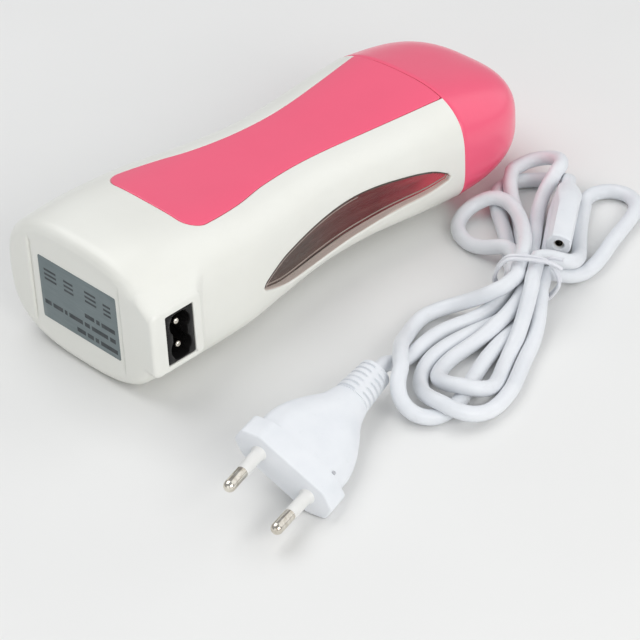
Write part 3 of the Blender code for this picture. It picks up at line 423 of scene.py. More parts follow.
def loft(rings, closed=False):
    """Points and faces that skin rings of equal length, with flat ends or joined to each other."""
    count = len(rings[0])
    points = [p for ring in rings for p in ring]
    faces = []
    last = len(rings) if closed else len(rings) - 1
    for k in range(last):
        a, b = k * count, ((k + 1) % len(rings)) * count
        for i in range(count):
            j = (i + 1) % count
            faces.append((a + i, a + j, b + j, b + i))
    if not closed:
        faces.append(tuple(range(count))[::-1])
        faces.append(tuple(range(len(points) - count, len(points))))
    return points, faces


def lofted(name, rings, mat, closed=False, **how):
    """A piece skinned over rings of points."""
    points, faces = loft(rings, closed)
    return mesh_piece(name, points, faces, mat, **how)


def turned(profile, start, direction, sides=48):
    """Rings of a turned piece whose profile holds (distance along the axis, radius)."""
    axis = Vector(direction).normalized()
    turn = Matrix.Translation(start) @ axis.to_track_quat("Z", "Y").to_matrix().to_4x4()
    rings = []
    for along, radius in profile:
        ring = []
        for i in range(sides):
            angle = math.tau * i / sides
            ring.append(turn @ Vector((radius * math.cos(angle), radius * math.sin(angle), along)))
        rings.append(ring)
    return rings


def through(points, step):
    """Points about a step apart along a smooth curve through the given ones."""
    points = [Vector(p) for p in points]
    ends = [2 * points[0] - points[1]] + points + [2 * points[-1] - points[-2]]
    fine = []
    for a, b, c, d in zip(ends, ends[1:], ends[2:], ends[3:]):
        for i in range(24):
            t = i / 24
            squared = (2 * a - 5 * b + 4 * c - d) * t**2
            cubed = (3 * b - a - 3 * c + d) * t**3
            fine.append(0.5 * (2 * b + (c - a) * t + squared + cubed))
    fine.append(points[-1])
    lengths = [0.0]
    for p, q in zip(fine, fine[1:]):
        lengths.append(lengths[-1] + (q - p).length)
    count = max(2, round(lengths[-1] / step) + 1)
    result = []
    k = 0
    for target in spread(0.0, lengths[-1], count):
        while k < len(fine) - 2 and lengths[k + 1] < target:
            k += 1
        share = (target - lengths[k]) / max(lengths[k + 1] - lengths[k], 1e-9)
        result.append(fine[k].lerp(fine[k + 1], min(share, 1.0)))
    return result


def basis(x_axis, y_axis, origin):
    """The matrix from a frame with these axes and origin to the heater's frame."""
    z_axis = x_axis.cross(y_axis)
    turn = Matrix((x_axis, y_axis, z_axis)).transposed().to_4x4()
    return Matrix.Translation(origin) @ turn


# ---------------------------------------------------------------- camera, floor and light


def facing(start, target):
    """The turn that points a camera or a light from one place at another, held level."""
    return (Vector(target) - Vector(start)).to_track_quat("-Z", "Y")


def make_camera():
    """The camera at the photograph's angle, rolled a little about its own axis."""
    data = bpy.data.cameras.new("camera")
    data.lens = CAMERA_LENS
    data.clip_end = 20.0
    camera = add_object("camera", data)
    roll = Matrix.Rotation(math.radians(CAMERA_ROLL), 4, "Z")
    level = facing(CAMERA_AT, CAMERA_TARGET).to_matrix().to_4x4()
    camera.matrix_world = Matrix.Translation(CAMERA_AT) @ level @ roll
    bpy.context.scene.camera = camera


def area_light(name, at, size, power, colour=(1.0, 1.0, 1.0)):
    """A broad soft light that faces the object."""
    data = bpy.data.lights.new(name, "AREA")
    data.shape = "RECTANGLE"
    data.size, data.size_y = size
    data.energy = power
    data.color = colour
    light = add_object(name, data)
    light.location = at
    light.rotation_euler = facing(at, LIGHT_TARGET).to_euler()


def make_studio():
    """A plain pale floor, soft lights overhead, in front and at both sides, and a pale sky."""
    size = FLOOR_HALF
    corners = [(-size, -size, 0), (size, -size, 0), (size, size, 0), (-size, size, 0)]
    data = bpy.data.meshes.new("floor")
    data.from_pydata(corners, [], [(0, 1, 2, 3)])
    data.materials.append(floor_material())
    floor = add_object("floor", data)
    world = bpy.data.worlds.new("world")
    world.use_nodes = True
    sky = world.node_tree.nodes["Background"]
    sky.inputs["Color"].default_value = (0.95, 0.97, 1.0, 1.0)
    sky.inputs["Strength"].default_value = 0.40
    bpy.context.scene.world = world
    area_light("overhead", (-0.10, 0.45, 0.95), (1.0, 0.8), 5.2)
    area_light("front", (-0.15, -0.95, 0.50), (0.8, 0.6), 5.6, (1.0, 0.99, 0.97))
    area_light("left", (-0.90, -0.35, 0.25), (0.8, 0.5), 0.9)
    area_light("right", (0.85, -0.35, 0.60), (1.1, 1.1), 2.4)
    bpy.context.scene.view_settings.view_transform = "Standard"


# ---------------------------------------------------------------- materials


class Look:
    """A node material in progress: its shader, and the nodes that vary it over the surface."""

    def __init__(self, name, roughness=0.4, metallic=0.0, **sockets):
        self.mat = bpy.data.materials.new(name)
        self.mat.use_nodes = True
        self.tree = self.mat.node_tree
        self.shader = self.tree.nodes["Principled BSDF"]
        self.where = self.tree.nodes.new("ShaderNodeTexCoord").outputs["Object"]
        self.shader.inputs["Roughness"].default_value = roughness
        self.shader.inputs["Metallic"].default_value = metallic
        for socket, value in sockets.items():
            self.shader.inputs[socket.replace("_", " ")].default_value = value

    def node(self, kind, **inputs):
        """A shader node with these input values."""
        made = self.tree.nodes.new("ShaderNode" + kind)
        for socket, value in inputs.items():
            made.inputs[socket.replace("_", " ")].default_value = value
        return made

    def join(self, output, socket):
        """Link an output to an input."""
        self.tree.links.new(output, socket)

    def noise(self, size, detail=4.0, stretch=(1.0, 1.0, 1.0), roughness=0.5):
        """Cloudy variation with features about size millimetres across, longer where stretch is above 1."""
        mapping = self.node("Mapping", Scale=tuple(1 / s for s in stretch))
        made = self.node("TexNoise", Scale=1 / (size * MM), Detail=detail, Roughness=roughness)
        self.join(self.where, mapping.inputs["Vector"])
        self.join(mapping.outputs["Vector"], made.inputs["Vector"])
        return made.outputs["Fac"]

    def along(self, direction, first, last):
        """0 to 1 between two distances along a direction of the heater's frame, in millimetres."""
        dot = self.node("VectorMath")
        dot.operation = "DOT_PRODUCT"
        dot.inputs[1].default_value = direction
        self.join(self.where, dot.inputs[0])
        shift = float(np.dot(ORIGIN, direction))
        return self.scale(dot.outputs["Value"], (first * MM + shift, last * MM + shift), (0.0, 1.0))

    def scale(self, value, taken, given):
        """Map one range of a value to another."""
        made = self.node("MapRange")
        for socket, number in zip(("From Min", "From Max", "To Min", "To Max"), (*taken, *given)):
            made.inputs[socket].default_value = number
        self.join(value, made.inputs["Value"])
        return made.outputs["Result"]

    def combine(self, first, second, operation="MULTIPLY"):
        """The product or another combination of two values."""
        made = self.node("Math")
        made.operation = operation
        self.join(first, made.inputs[0])
        self.join(second, made.inputs[1])
        return made.outputs["Value"]

    def blend(self, factor, first, second):
        """Mix two colours, each a colour or the output of another mix."""
        made = self.tree.nodes.new("ShaderNodeMix")
        made.data_type = "RGBA"
        self.join(factor, made.inputs[0])
        for socket, colour in ((made.inputs[6], first), (made.inputs[7], second)):
            if isinstance(colour, bpy.types.NodeSocket):
                self.join(colour, socket)
            else:
                socket.default_value = (*colour, 1.0)
        return made.outputs[2]

    def colour(self, output):
        """Use an output as the base colour."""
        self.join(output, self.shader.inputs["Base Color"])

    def rough(self, output):
        """Use an output as the roughness."""
        self.join(output, self.shader.inputs["Roughness"])

    def bump(self, layers):
        """Raise the surface by (height output, height in millimetres) layers, one on the other."""
        normal = None
        for height, depth in layers:
            made = self.node("Bump", Strength=1.0, Distance=depth * MM)
            self.join(height, made.inputs["Height"])
            if normal:
                self.join(normal, made.inputs["Normal"])
            normal = made.outputs["Normal"]
        self.join(normal, self.shader.inputs["Normal"])


def floor_material():
    """Pale matt paper."""
    look = Look("floor_paper", 0.55)
    look.colour(look.blend(look.noise(60.0), (0.80, 0.80, 0.79), (0.83, 0.83, 0.82)))
    look.bump([(look.noise(0.8), 0.01)])
    return look.mat


def moulded(name, light, dark, gloss, peel=0.002, cloud=26.0, scuffs=0.02, **sockets):
    """Glossy moulded plastic: faint clouds and handling marks, smudged gloss, hairlines and orange peel."""
    look = Look(name, gloss[0], **sockets)
    clouds = look.scale(look.noise(cloud, 3.0), (0.15, 0.85), (0.0, 1.0))
    shade = look.blend(clouds, light, dark)
    handling = look.scale(look.noise(7.0, 3.0), (0.2, 0.9), (0.0, 0.14))
    look.colour(look.blend(handling, shade, tuple(0.9 * c for c in dark)))
    smudge = look.scale(look.noise(11.0, 3.0), (0.15, 0.85), gloss)
    hair = look.scale(look.noise(1.2, 3.0, (30.0, 1.0, 1.0)), (0.15, 0.85), (0.0, scuffs))
    look.rough(look.combine(smudge, hair, "ADD"))
    look.bump([(look.noise(2.6, 2.0), peel), (look.noise(11.0, 2.0), 3 * peel)])
    return look.mat


def soft_vinyl(name, light, dark, gloss, grain=0.02, **sockets):
    """Moulded soft PVC: matt fine grain, flow marks and slight grime."""
    look = Look(name, gloss[0], **sockets)
    clouds = look.scale(look.noise(9.0, 5.0), (0.3, 0.7), (0.0, 1.0))
    shade = look.blend(clouds, light, dark)
    grime = look.scale(look.noise(3.0, 6.0, roughness=0.7), (0.6, 0.78), (0.0, 0.30))
    look.colour(look.blend(grime, shade, tuple(0.8 * c for c in dark)))
    look.rough(look.scale(look.noise(2.2, 5.0), (0.3, 0.7), gloss))
    look.bump([(look.noise(0.32, 3.0), grain), (look.noise(4.0, 2.0), grain * 1.6)])
    return look.mat


def metal(name, light, dark, gloss, line=(1.0, 1.0, 1.0), line_size=0.2, line_depth=0.004):
    """Plated or bare metal: tool lines, tarnish and fine pits."""
    look = Look(name, gloss[0], 1.0)
    tarnish = look.scale(look.noise(2.5, 5.0, roughness=0.65), (0.42, 0.72), (0.0, 1.0))
    look.colour(look.blend(tarnish, light, dark))
    look.rough(look.scale(look.noise(line_size * 2, 4.0, line), (0.3, 0.7), gloss))
    look.bump([(look.noise(line_size, 2.0, line), line_depth)])
    return look.mat


def lens_material():
    """Clear, slightly smoky window plastic with wiping marks."""
    look = Look("window_clear", 0.05, IOR=1.49, Alpha=0.07, Specular_IOR_Level=0.3)
    look.colour(look.blend(look.noise(14.0), (0.40, 0.32, 0.29), (0.32, 0.25, 0.23)))
    look.rough(look.scale(look.noise(0.9, 4.0, (40.0, 2.0, 2.0)), (0.45, 0.75), (0.03, 0.16)))
    look.bump([(look.noise(0.8, 3.0, (30.0, 2.0, 2.0)), 0.006)])
    return look.mat


def pane_material():
    """Inner pane of the window, its colour painting the view into the chamber: brown towards the base end, a
    painted red glow towards the cap where light comes through it, painted reflection streaks that are
    stronger higher up, and painted shadow.
    """
    look = Look("pane_red_brown", 0.22, Specular_IOR_Level=0.25)
    # painted light: the colour turns red towards the cap, a painted glow of the light that comes through the
    # cap
    far = look.along((1.0, 0.0, 0.0), WINDOW[0][0], WINDOW[-1][0])
    tint_and_painted_glow = look.blend(look.scale(far, (0.30, 0.62), (0.0, 1.0)), (0.075, 0.050, 0.042), (0.135, 0.014, 0.018))
    tint_and_painted_glow = look.blend(look.scale(far, (0.66, 0.98), (0.0, 1.0)), tint_and_painted_glow, (0.62, 0.060, 0.095))
    # painted reflection: light lengthwise streaks, stronger higher up
    high = look.along((-0.06, 0.0, 1.0), 8.0, 20.0)
    reflection_streaks = look.scale(look.noise(1.6, 6.0, (30.0, 2.0, 1.0), roughness=0.6), (0.46, 0.66), (0.0, 0.24))
    reflection_streaks = look.combine(reflection_streaks, look.scale(high, (0.1, 0.9), (0.25, 1.0)))
    tint_and_painted_glow = look.blend(reflection_streaks, tint_and_painted_glow, (0.36, 0.19, 0.17))
    shadow = look.scale(look.noise(5.0, 5.0, (12.0, 1.0, 1.0)), (0.48, 0.70), (0.0, 0.55))
    look.colour(look.blend(shadow, tint_and_painted_glow, (0.095, 0.024, 0.026)))
    look.rough(look.scale(look.noise(3.0, 4.0, (10.0, 1.0, 1.0)), (0.3, 0.7), (0.14, 0.34)))
    look.bump([(look.noise(1.6, 4.0, (30.0, 2.0, 1.0)), 0.012)])
    return look.mat


def cord_material():
    """Extruded PVC sheath: faint flow lines, handling grime and a soft gloss."""
    look = Look("cord_sheath", 0.36)
    clouds = look.scale(look.noise(16.0, 4.0), (0.3, 0.7), (0.0, 1.0))
    shade = look.blend(clouds, (0.79, 0.81, 0.84), (0.71, 0.735, 0.77))
    grime = look.scale(look.noise(4.5, 6.0, roughness=0.7), (0.58, 0.8), (0.0, 0.35))
    look.colour(look.blend(grime, shade, (0.56, 0.55, 0.55)))
    look.rough(look.scale(look.noise(3.0, 5.0), (0.3, 0.7), (0.30, 0.48)))
    look.bump([(look.noise(0.6, 3.0), 0.010), (look.noise(3.2, 2.0), 0.035)])
    return look.mat


def make_materials():
    """Every material by its short name."""
    return {
        "ivory": moulded("ivory_abs", (0.83, 0.835, 0.79), (0.80, 0.80, 0.745), (0.27, 0.37),
                         Coat_Weight=0.15, Coat_Roughness=0.12),
        "cover": moulded("ivory_satin", (0.80, 0.80, 0.76), (0.76, 0.755, 0.70), (0.34, 0.46), peel=0.008),
        "panel": moulded("panel_pink_gloss", (0.93, 0.115, 0.215), (0.90, 0.10, 0.20), (0.26, 0.34),
                         cloud=40.0, Coat_Weight=0.5, Coat_Roughness=0.20),
        "cap": moulded("cap_pink_gloss", (0.93, 0.105, 0.205), (0.90, 0.09, 0.19), (0.26, 0.36),
                       cloud=30.0, Coat_Weight=0.65, Coat_Roughness=0.24),
        "inner": moulded("inner_natural", (0.70, 0.70, 0.67), (0.64, 0.64, 0.60), (0.42, 0.55), peel=0.008),
        "lens": lens_material(),
        "pane": pane_material(),
        # painted light: the window's wall, a lighter and warmer copy of the ivory, painted as if lit
        "ledge": moulded("window_ledge", (0.90, 0.79, 0.72), (0.82, 0.70, 0.63), (0.30, 0.45), cloud=9.0),
        # also used for the painted highlight line along the lens's upper edge
        "bead": moulded("pane_bead", (0.44, 0.37, 0.33), (0.36, 0.30, 0.26), (0.25, 0.40), cloud=6.0),
        # painted shade: the dark band along the lens's upper edge
        "rim": moulded("lens_rim", (0.115, 0.095, 0.085), (0.085, 0.068, 0.06), (0.18, 0.30), cloud=6.0),
        "black": moulded("socket_black", (0.006, 0.006, 0.006), (0.011, 0.010, 0.010), (0.20, 0.34),
                         cloud=4.0, Specular_IOR_Level=0.3),
        "nickel": metal("nickel_plate", (0.80, 0.76, 0.68), (0.50, 0.44, 0.36), (0.06, 0.18)),
        "steel": metal("screw_steel_zinc", (0.60, 0.60, 0.62), (0.38, 0.38, 0.40), (0.25, 0.45)),
        "spring": metal("spring_steel_strip", (0.66, 0.67, 0.68), (0.45, 0.46, 0.50), (0.18, 0.36),
                        (12.0, 1.0, 1.0)),
        "aluminium": metal("chamber_aluminium_drawn", (0.62, 0.60, 0.58), (0.46, 0.44, 0.42), (0.28, 0.50),
                           (40.0, 1.0, 1.0)),
        "ceramic": soft_vinyl("heater_ceramic_tan", (0.66, 0.50, 0.36), (0.56, 0.41, 0.28), (0.6, 0.8)),
        "insulation": soft_vinyl("insulation_film", (0.72, 0.58, 0.27), (0.62, 0.48, 0.20), (0.35, 0.6)),
        "live": soft_vinyl("wire_brown_pvc", (0.17, 0.065, 0.028), (0.12, 0.045, 0.02), (0.35, 0.5)),
        "neutral": soft_vinyl("wire_blue_pvc", (0.04, 0.13, 0.42), (0.03, 0.10, 0.33), (0.35, 0.5)),
        "plug": soft_vinyl("plug_pvc", (0.78, 0.80, 0.83), (0.73, 0.755, 0.79), (0.40, 0.58)),
        # painted shade: grey standing in for the shade in a small dimple
        "gate": soft_vinyl("gate_mark_grey", (0.50, 0.51, 0.54), (0.42, 0.43, 0.46), (0.40, 0.58)),
        "sleeve": soft_vinyl("sleeve_nylon", (0.80, 0.80, 0.79), (0.74, 0.74, 0.72), (0.28, 0.45),
                             grain=0.008),
        "cord": cord_material(),
        "tie": soft_vinyl("tie_pvc", (0.78, 0.79, 0.82), (0.66, 0.67, 0.72), (0.30, 0.5), grain=0.01),
        "label": label_material(),
        "ink": soft_vinyl("label_ink", (0.020, 0.028, 0.034), (0.035, 0.045, 0.052), (0.35, 0.6),
                          grain=0.004),
    }


def label_material():
    """Metallised grey film with a faint brushed grain."""
    look = Look("label_film", 0.38, 0.15)
    shade = look.blend(look.noise(12.0), (0.170, 0.212, 0.222), (0.140, 0.178, 0.186))
    grain = look.scale(look.noise(0.35, 3.0, (1.0, 24.0, 1.0)), (0.4, 0.7), (0.0, 0.35))
    look.colour(look.blend(grain, shade, (0.23, 0.275, 0.285)))
    look.rough(look.scale(look.noise(6.0, 4.0), (0.3, 0.7), (0.30, 0.46)))
    look.bump([(look.noise(0.3, 2.0, (1.0, 20.0, 1.0)), 0.004)])
    return look.mat


# ---------------------------------------------------------------- casing surface

FINE_X = np.arange(0.0, SEAM_X + 0.05, 0.1)
FINE_ROWS = np.array([smooth_row(CASING, x) for x in FINE_X])
ROUND_START = BASE_EDGE * (1 - math.pi / 2)     # start of the rounding at the base end, along the skin
ANGLE_SCALE = 32.0                              # millimetres of skin for each radian around the casing
SKIN_END = SEAM_X - GAP / 2


def casing_rows(x):
    """Half width, half height, middle height and squareness of the casing at each x."""
    half_width, top, under, square = (np.interp(x, FINE_X, column) for column in FINE_ROWS.T)
    return half_width, (top - under) / 2, (top + under) / 2, square


def casing_points(along, angle, depth=0.0):
    """Points at a depth below the casing's surface, from the distance along its skin and the angle around."""
    turn = np.clip((along - ROUND_START) / (BASE_EDGE - ROUND_START), 0, 1) * math.pi / 2
    x = np.where(along < BASE_EDGE, BASE_EDGE * (1 - np.cos(turn)), along)
    inset = np.where(along < BASE_EDGE, BASE_EDGE * (1 - np.sin(turn)), 0.0) + depth
    half_width, half_height, middle, square = casing_rows(x)
    c, s = np.cos(angle), np.sin(angle)
    reach = (abs(c) ** square + abs(s) ** square) ** (-1 / square)
    y = (half_width - inset) * reach * c
    z = middle + (half_height - inset) * reach * s
    return np.stack((x, y, np.maximum(z, np.where(s < 0, depth, 0.0))), axis=-1)


def bow(points):
    """Bend the plane of the seam: it bows towards the cap at the middle and away from it at the sides."""
    points = np.array(points, float)
    share = np.clip(abs(points[:, 1]) / CASING[-1][1], 0, 1) ** 2
    near = np.exp(-(((points[:, 0] - SEAM_X) / SEAM_BOW_REACH) ** 2))
    points[:, 0] += (SEAM_BOW[0] + (SEAM_BOW[1] - SEAM_BOW[0]) * share) * near
    return points


def to_skin(outline, face):
    """An outline in (x, y) on the top or the underside, or in (x, z) on the near side, as (along, angle)."""
    x = outline[:, 0]
    half_width, half_height, middle, square = casing_rows(x)
    if face == "side":
        upward = (outline[:, 1] - middle) / half_height
        across = -((1 - np.minimum(abs(upward), 1) ** square) ** (1 / square))
    else:
        across = outline[:, 1] / half_width
        upward = (1 - np.minimum(abs(across), 1) ** square) ** (1 / square)
        upward = upward if face == "top" else -upward
    return np.stack((x, np.arctan2(upward, across) % math.tau), axis=-1)


def on_face(points, face):
    """Which points are on the top, the underside or the near side."""
    if face == "side":
        return points[:, 1] < NEAR_Y
    return points[:, 2] > TOP_Z if face == "top" else points[:, 2] < UNDER_Z


def to_plane(points, face):
    """The two coordinates that outlines on this face are drawn in."""
    return points[:, (0, 2)] if face == "side" else points[:, :2]


def signed_distance(points, outline):
    """Distance of each point from a closed outline, negative inside."""
    nearest = np.full(len(points), 1e9)
    inside = np.zeros(len(points), bool)
    for start, end in zip(outline, np.roll(outline, -1, axis=0)):
        run = end - start
        share = np.clip((points - start) @ run / max(run @ run, 1e-12), 0, 1)
        nearest = np.minimum(nearest, np.linalg.norm(points - start - share[:, None] * run, axis=1))
        crosses = (start[1] > points[:, 1]) != (end[1] > points[:, 1])
        edge_x = start[0] + (points[:, 1] - start[1]) * run[0] / (run[1] if run[1] else 1e-9)
        inside ^= crosses & (points[:, 0] < edge_x)
    return np.where(inside, -nearest, nearest)


def evenly(outline, count=None):
    """The same closed outline with so many evenly spaced points, or with points about LINE_STEP apart."""
    closed = np.vstack((outline, outline[:1]))
    lengths = np.concatenate(([0.0], np.cumsum(np.linalg.norm(np.diff(closed, axis=0), axis=1))))
    count = count or round(lengths[-1] / LINE_STEP)
    marks = np.linspace(0, lengths[-1], count + 1)[:-1]
    return np.stack([np.interp(marks, lengths, closed[:, k]) for k in (0, 1)], axis=-1)


def offset(outline, distance):
    """The outline moved outwards by a distance, without the loops that tight corners would make."""
    ahead = np.roll(outline, -1, axis=0) - np.roll(outline, 1, axis=0)
    normal = np.stack((ahead[:, 1], -ahead[:, 0]), axis=-1)
    normal /= np.linalg.norm(normal, axis=1, keepdims=True)
    area = np.sum(outline[:, 0] * np.roll(outline[:, 1], -1) - outline[:, 1] * np.roll(outline[:, 0], -1))
    moved = outline + normal * distance * (1 if area > 0 else -1)
    return moved[abs(signed_distance(moved, outline)) > abs(distance) - 0.02]


def corner_loss(distance, radius):
    """How much a half width loses this far from the end of a plate whose corners are rounded."""
    if distance >= radius:
        return 0.0
    return radius - math.sqrt(radius**2 - (radius - max(distance, 0.0)) ** 2)


def plate_outline(first, last, half, corner, end_corner):
    """A closed outline that runs along one side of a plate and back along the other."""
    ends = [corner * (1 - math.cos(a)) for a in spread(0.0, math.pi / 2, 14)]
    stops = [first + d for d in ends] + spread(first + corner, last - end_corner, 60)[1:]
    stops += [last - end_corner * (1 - math.cos(a)) for a in spread(math.pi / 2, 0.0, 10)]
    side = []
    for x in stops:
        width = half(x) - corner_loss(x - first, corner) - corner_loss(last - x, end_corner)
        side.append((x, width))
    return np.array([(x, -width) for x, width in side] + side[::-1])


def panel_outline(last):
    """The front panel's outline, ended at this distance from the base end."""
    return plate_outline(PANEL[0][0], last, lambda x: smooth_row(PANEL, x)[0], PANEL_CORNER, 0.3)


def cover_outline():
    """The back cover's outline."""
    return plate_outline(*COVER_X, lambda x: COVER_HALF, COVER_CORNER, COVER_CORNER)


def window_outline():
    """The slender eye of the window, its tips closed by small arcs."""
    upper, lower = [], []
    for x in spread(WINDOW[0][0], WINDOW[-1][0], 90):
        low, high = smooth_row(WINDOW, x)
        loss = corner_loss(x - WINDOW[0][0], 1.0) + corner_loss(WINDOW[-1][0] - x, 1.0)
        upper.append((x, high - loss * (high - low) / 2))
        lower.append((x, low + loss * (high - low) / 2))
    return np.array(lower + upper[::-1])


def window_depth(x):
    """How far below the casing's surface the inner pane lies, deepest in the middle of the window."""
    along = np.clip((x - WINDOW[0][0]) / (WINDOW[-1][0] - WINDOW[0][0]), 0, 1)
    return PANE_DEPTH[0] + (PANE_DEPTH[1] - PANE_DEPTH[0]) * np.sin(math.pi * along) ** 0.8


def edge_fillet(distance, radius):
    """Depth of a rounded edge at this distance from it."""
    share = np.clip(distance / radius, 0, 1)
    return radius * (1 - np.sqrt(np.maximum(1 - (1 - share) ** 2, 0)))


def triangulate(lines, free):
    """Triangles over the plane that keep the edges of each (line, closed), with free points between them."""
    points, edges = [], []
    for line, closed in lines:
        first, count = len(points), len(line)
        points += [Vector(p) for p in line]
        edges += [(first + i, first + (i + 1) % count) for i in range(count if closed else count - 1)]
    points += [Vector(p) for p in free]
    found, _, faces, *_ = delaunay_2d_cdt(points, edges, [], 0, 1e-6)
    return np.array([tuple(p) for p in found]), np.array([tuple(face) for face in faces])


def triangulate_skin(lines, free):
    """Triangles over the unrolled skin, as (along, angle) points and faces."""
    scale = np.array((1.0, ANGLE_SCALE))
    points, faces = triangulate([(line * scale, closed) for line, closed in lines], free * scale)
    return points / scale, faces


def skin_grid(first, last, pitch, low_angle=0.0, high_angle=math.tau):
    """A staggered grid of (along, angle) points."""
    rows = max(2, round((last - first) / pitch) + 1)
    count = round((high_angle - low_angle) * ANGLE_SCALE / pitch)
    grid = []
    for k, along in enumerate(spread(first, last, rows)):
        shift = 0.25 if k % 2 else -0.25
        angles = low_angle + (np.arange(1, count) + shift) * (high_angle - low_angle) / count
        grid.append(np.stack((np.full(len(angles), along), angles), axis=-1))
    return np.vstack(grid)


def open_at_seam(line):
    """A closed line, or its part this side of the seam, ended on the seam, and whether it is closed."""
    beyond = line[:, 0] > SKIN_END
    if not beyond.any():
        return line, True
    last_beyond = int(np.argmax(beyond & ~np.roll(beyond, -1)))
    line = np.roll(line, -last_beyond, axis=0)
    stop = int(np.argmax(line[1:, 0] > SKIN_END)) + 1

    def on_seam(outside, inside):
        share = (SKIN_END - inside[0]) / (outside[0] - inside[0])
        return np.array((SKIN_END, inside[1] + share * (outside[1] - inside[1])))

    kept = line[1:stop]
    ends = on_seam(line[0], kept[0]), on_seam(line[stop], kept[-1])
    kept = kept[kept[:, 0] < SKIN_END - 0.3]
    return np.vstack((ends[0], kept, ends[1])), False


def feature_lines(outline, face, steps):
    """The outline and its offsets as (line on the skin, closed)."""
    lines = []
    for step in steps:
        line = evenly(outline)
        line, closed = open_at_seam(offset(line, step) if step else line)
        lines.append((to_skin(line, face), closed))
    return lines


def around(along, extra=()):
    """Points around the skin at one distance along it, among them the extra angles."""
    angles = np.linspace(0, math.tau, 200)[1:-1]
    for angle in extra:
        angles = angles[abs(angles - angle) > 0.012]
    angles = np.sort(np.concatenate((angles, extra)))
    return np.stack((np.full(len(angles), along), angles), axis=-1)


PANEL_STEPS = (0.45, 0.25, 0.1, 0.0, -0.06)
WINDOW_STEPS = (0.9, 0.5, 0.25, 0.1, 0.0)


def casing_grid(features):
    """The free points of the skin: a finer grid at the boss, and none close to a feature's lines."""
    end, low, high = BOSS_GRID
    free = skin_grid(ROUND_START + 0.55, SKIN_END - 0.6, GRID_PITCH)
    boss = (free[:, 0] < end) & (free[:, 1] > low) & (free[:, 1] < high)
    free = np.vstack((free[~boss], skin_grid(ROUND_START + 0.4, end, BOSS_GRID_PITCH, low, high)))
    flat = casing_points(free[:, 0], free[:, 1])
    keep = np.ones(len(free), bool)
    for outline, face, steps in features:
        distance = signed_distance(to_plane(flat, face), outline)
        near = (distance > min(steps) - 0.5) & (distance < max(steps) + 0.5)
        keep &= ~(on_face(flat, face) & near)
    return free[keep]


def casing_sheet():
    """The casing's unrolled skin, dented for the panel and the cover and marked where the window opens."""
    dents = ((panel_outline(SKIN_END + 8), "top", PANEL_DENT), (cover_outline(), "under", COVER_DENT))
    window = window_outline()
    features = [(outline, face, PANEL_STEPS) for outline, face, _ in dents]
    lines = [line for feature in features for line in feature_lines(*feature)]
    seam_angles = [angle for line, closed in lines if not closed for angle in (line[0, 1], line[-1, 1])]
    features.append((window, "side", WINDOW_STEPS))
    lines += feature_lines(*features[-1])
    near, far = around(ROUND_START), around(SKIN_END, seam_angles)
    seam = np.linspace(ROUND_START, SKIN_END, SEAM_POINTS)
    low, high = (np.stack((seam, np.full(SEAM_POINTS, a)), axis=-1) for a in (0.0, math.tau))
    lines.append((np.vstack((low, far, high[::-1], near[::-1])), True))
    skin, faces = triangulate_skin(lines, casing_grid(features))
    flat = casing_points(skin[:, 0], skin[:, 1])
    depth = np.zeros(len(skin))
    for outline, face, drop in dents:
        distance = signed_distance(to_plane(flat, face), outline)
        dent = np.where(distance < -0.03, drop, edge_fillet(distance, DENT_FILLET))
        depth = np.where(on_face(flat, face), np.maximum(depth, dent), depth)
    dent = edge_fillet(signed_distance(to_plane(flat, "side"), window), WINDOW_FILLET)
    depth = np.where(on_face(flat, "side"), np.maximum(depth, dent), depth)
    middles = flat[faces].mean(axis=1)
    opening = on_face(middles, "side") & (signed_distance(to_plane(middles, "side"), window) < 0)
    on_end = (skin[:, 0] > SKIN_END - 1e-6) & (skin[:, 1] < math.tau - 1e-6)
    end = [i for i in np.argsort(skin[:, 1]) if on_end[i]]
    return casing_points(skin[:, 0], skin[:, 1], depth), faces, opening, near, end


def base_sheet(near):
    """The flat base end, with a shallow recess between two upright lines."""
    rim = casing_points(near[:, 0], near[:, 1])
    rim = np.vstack((casing_points(np.array([ROUND_START]), np.array([0.0])), rim))
    outline = rim[:, 1:]
    step = np.array((-0.45, -0.3, -0.15, 0.0, 0.15, 0.3, 0.45))
    grid = [(y, z) for y in np.arange(-30, 31, BASE_PITCH) for z in np.arange(2, 48, BASE_PITCH)]
    heights = np.arange(4, 46, BASE_PITCH / 2)
    grid += [(side * (BASE_RECESS_HALF + d), z) for side in (1, -1) for d in step for z in heights]
    grid = np.array(grid)
    grid = grid[signed_distance(grid, outline) < -0.8]
    points, faces = triangulate([(outline, True)], grid)
    middles = points[faces].mean(axis=1)
    faces = faces[signed_distance(middles, outline) < 0]
    inward = np.clip((BASE_RECESS_HALF + 0.15 - abs(points[:, 0])) / 0.3, 0, 1)
    fade = np.clip(-signed_distance(points, outline) / BASE_FADE, 0, 1)
    groove = BASE_GROOVE * np.exp(-(((abs(points[:, 0]) - BASE_RECESS_HALF) / BASE_GROOVE_WIDTH) ** 2))
    sink = (BASE_RECESS * inward * inward * (3 - 2 * inward) + groove) * fade * fade * (3 - 2 * fade)
    return np.column_stack((sink, points)), faces


def rounded_box(low, high, radius, count=160):
    """Points around a rectangle with rounded corners, in two of the axes."""
    outline = []
    for k, (right, up) in enumerate(((1, 1), (0, 1), (0, 0), (1, 0))):
        across = high[0] - radius if right else low[0] + radius
        height = high[1] - radius if up else low[1] + radius
        for a in spread(0.5 * k * math.pi, (0.5 * k + 0.5) * math.pi, 12):
            outline.append((across + radius * math.cos(a), height + radius * math.sin(a)))
    return evenly(np.array(outline), count)


def boss_growth(y):
    """How far the boss reaches beyond its front's outline towards the cap and upwards, at each y."""
    behind = np.clip(y + BOSS_REACH - BOSS_FILLET, 0, 5)
    return BOSS_FLARE[0] * behind, BOSS_FLARE[1] * behind


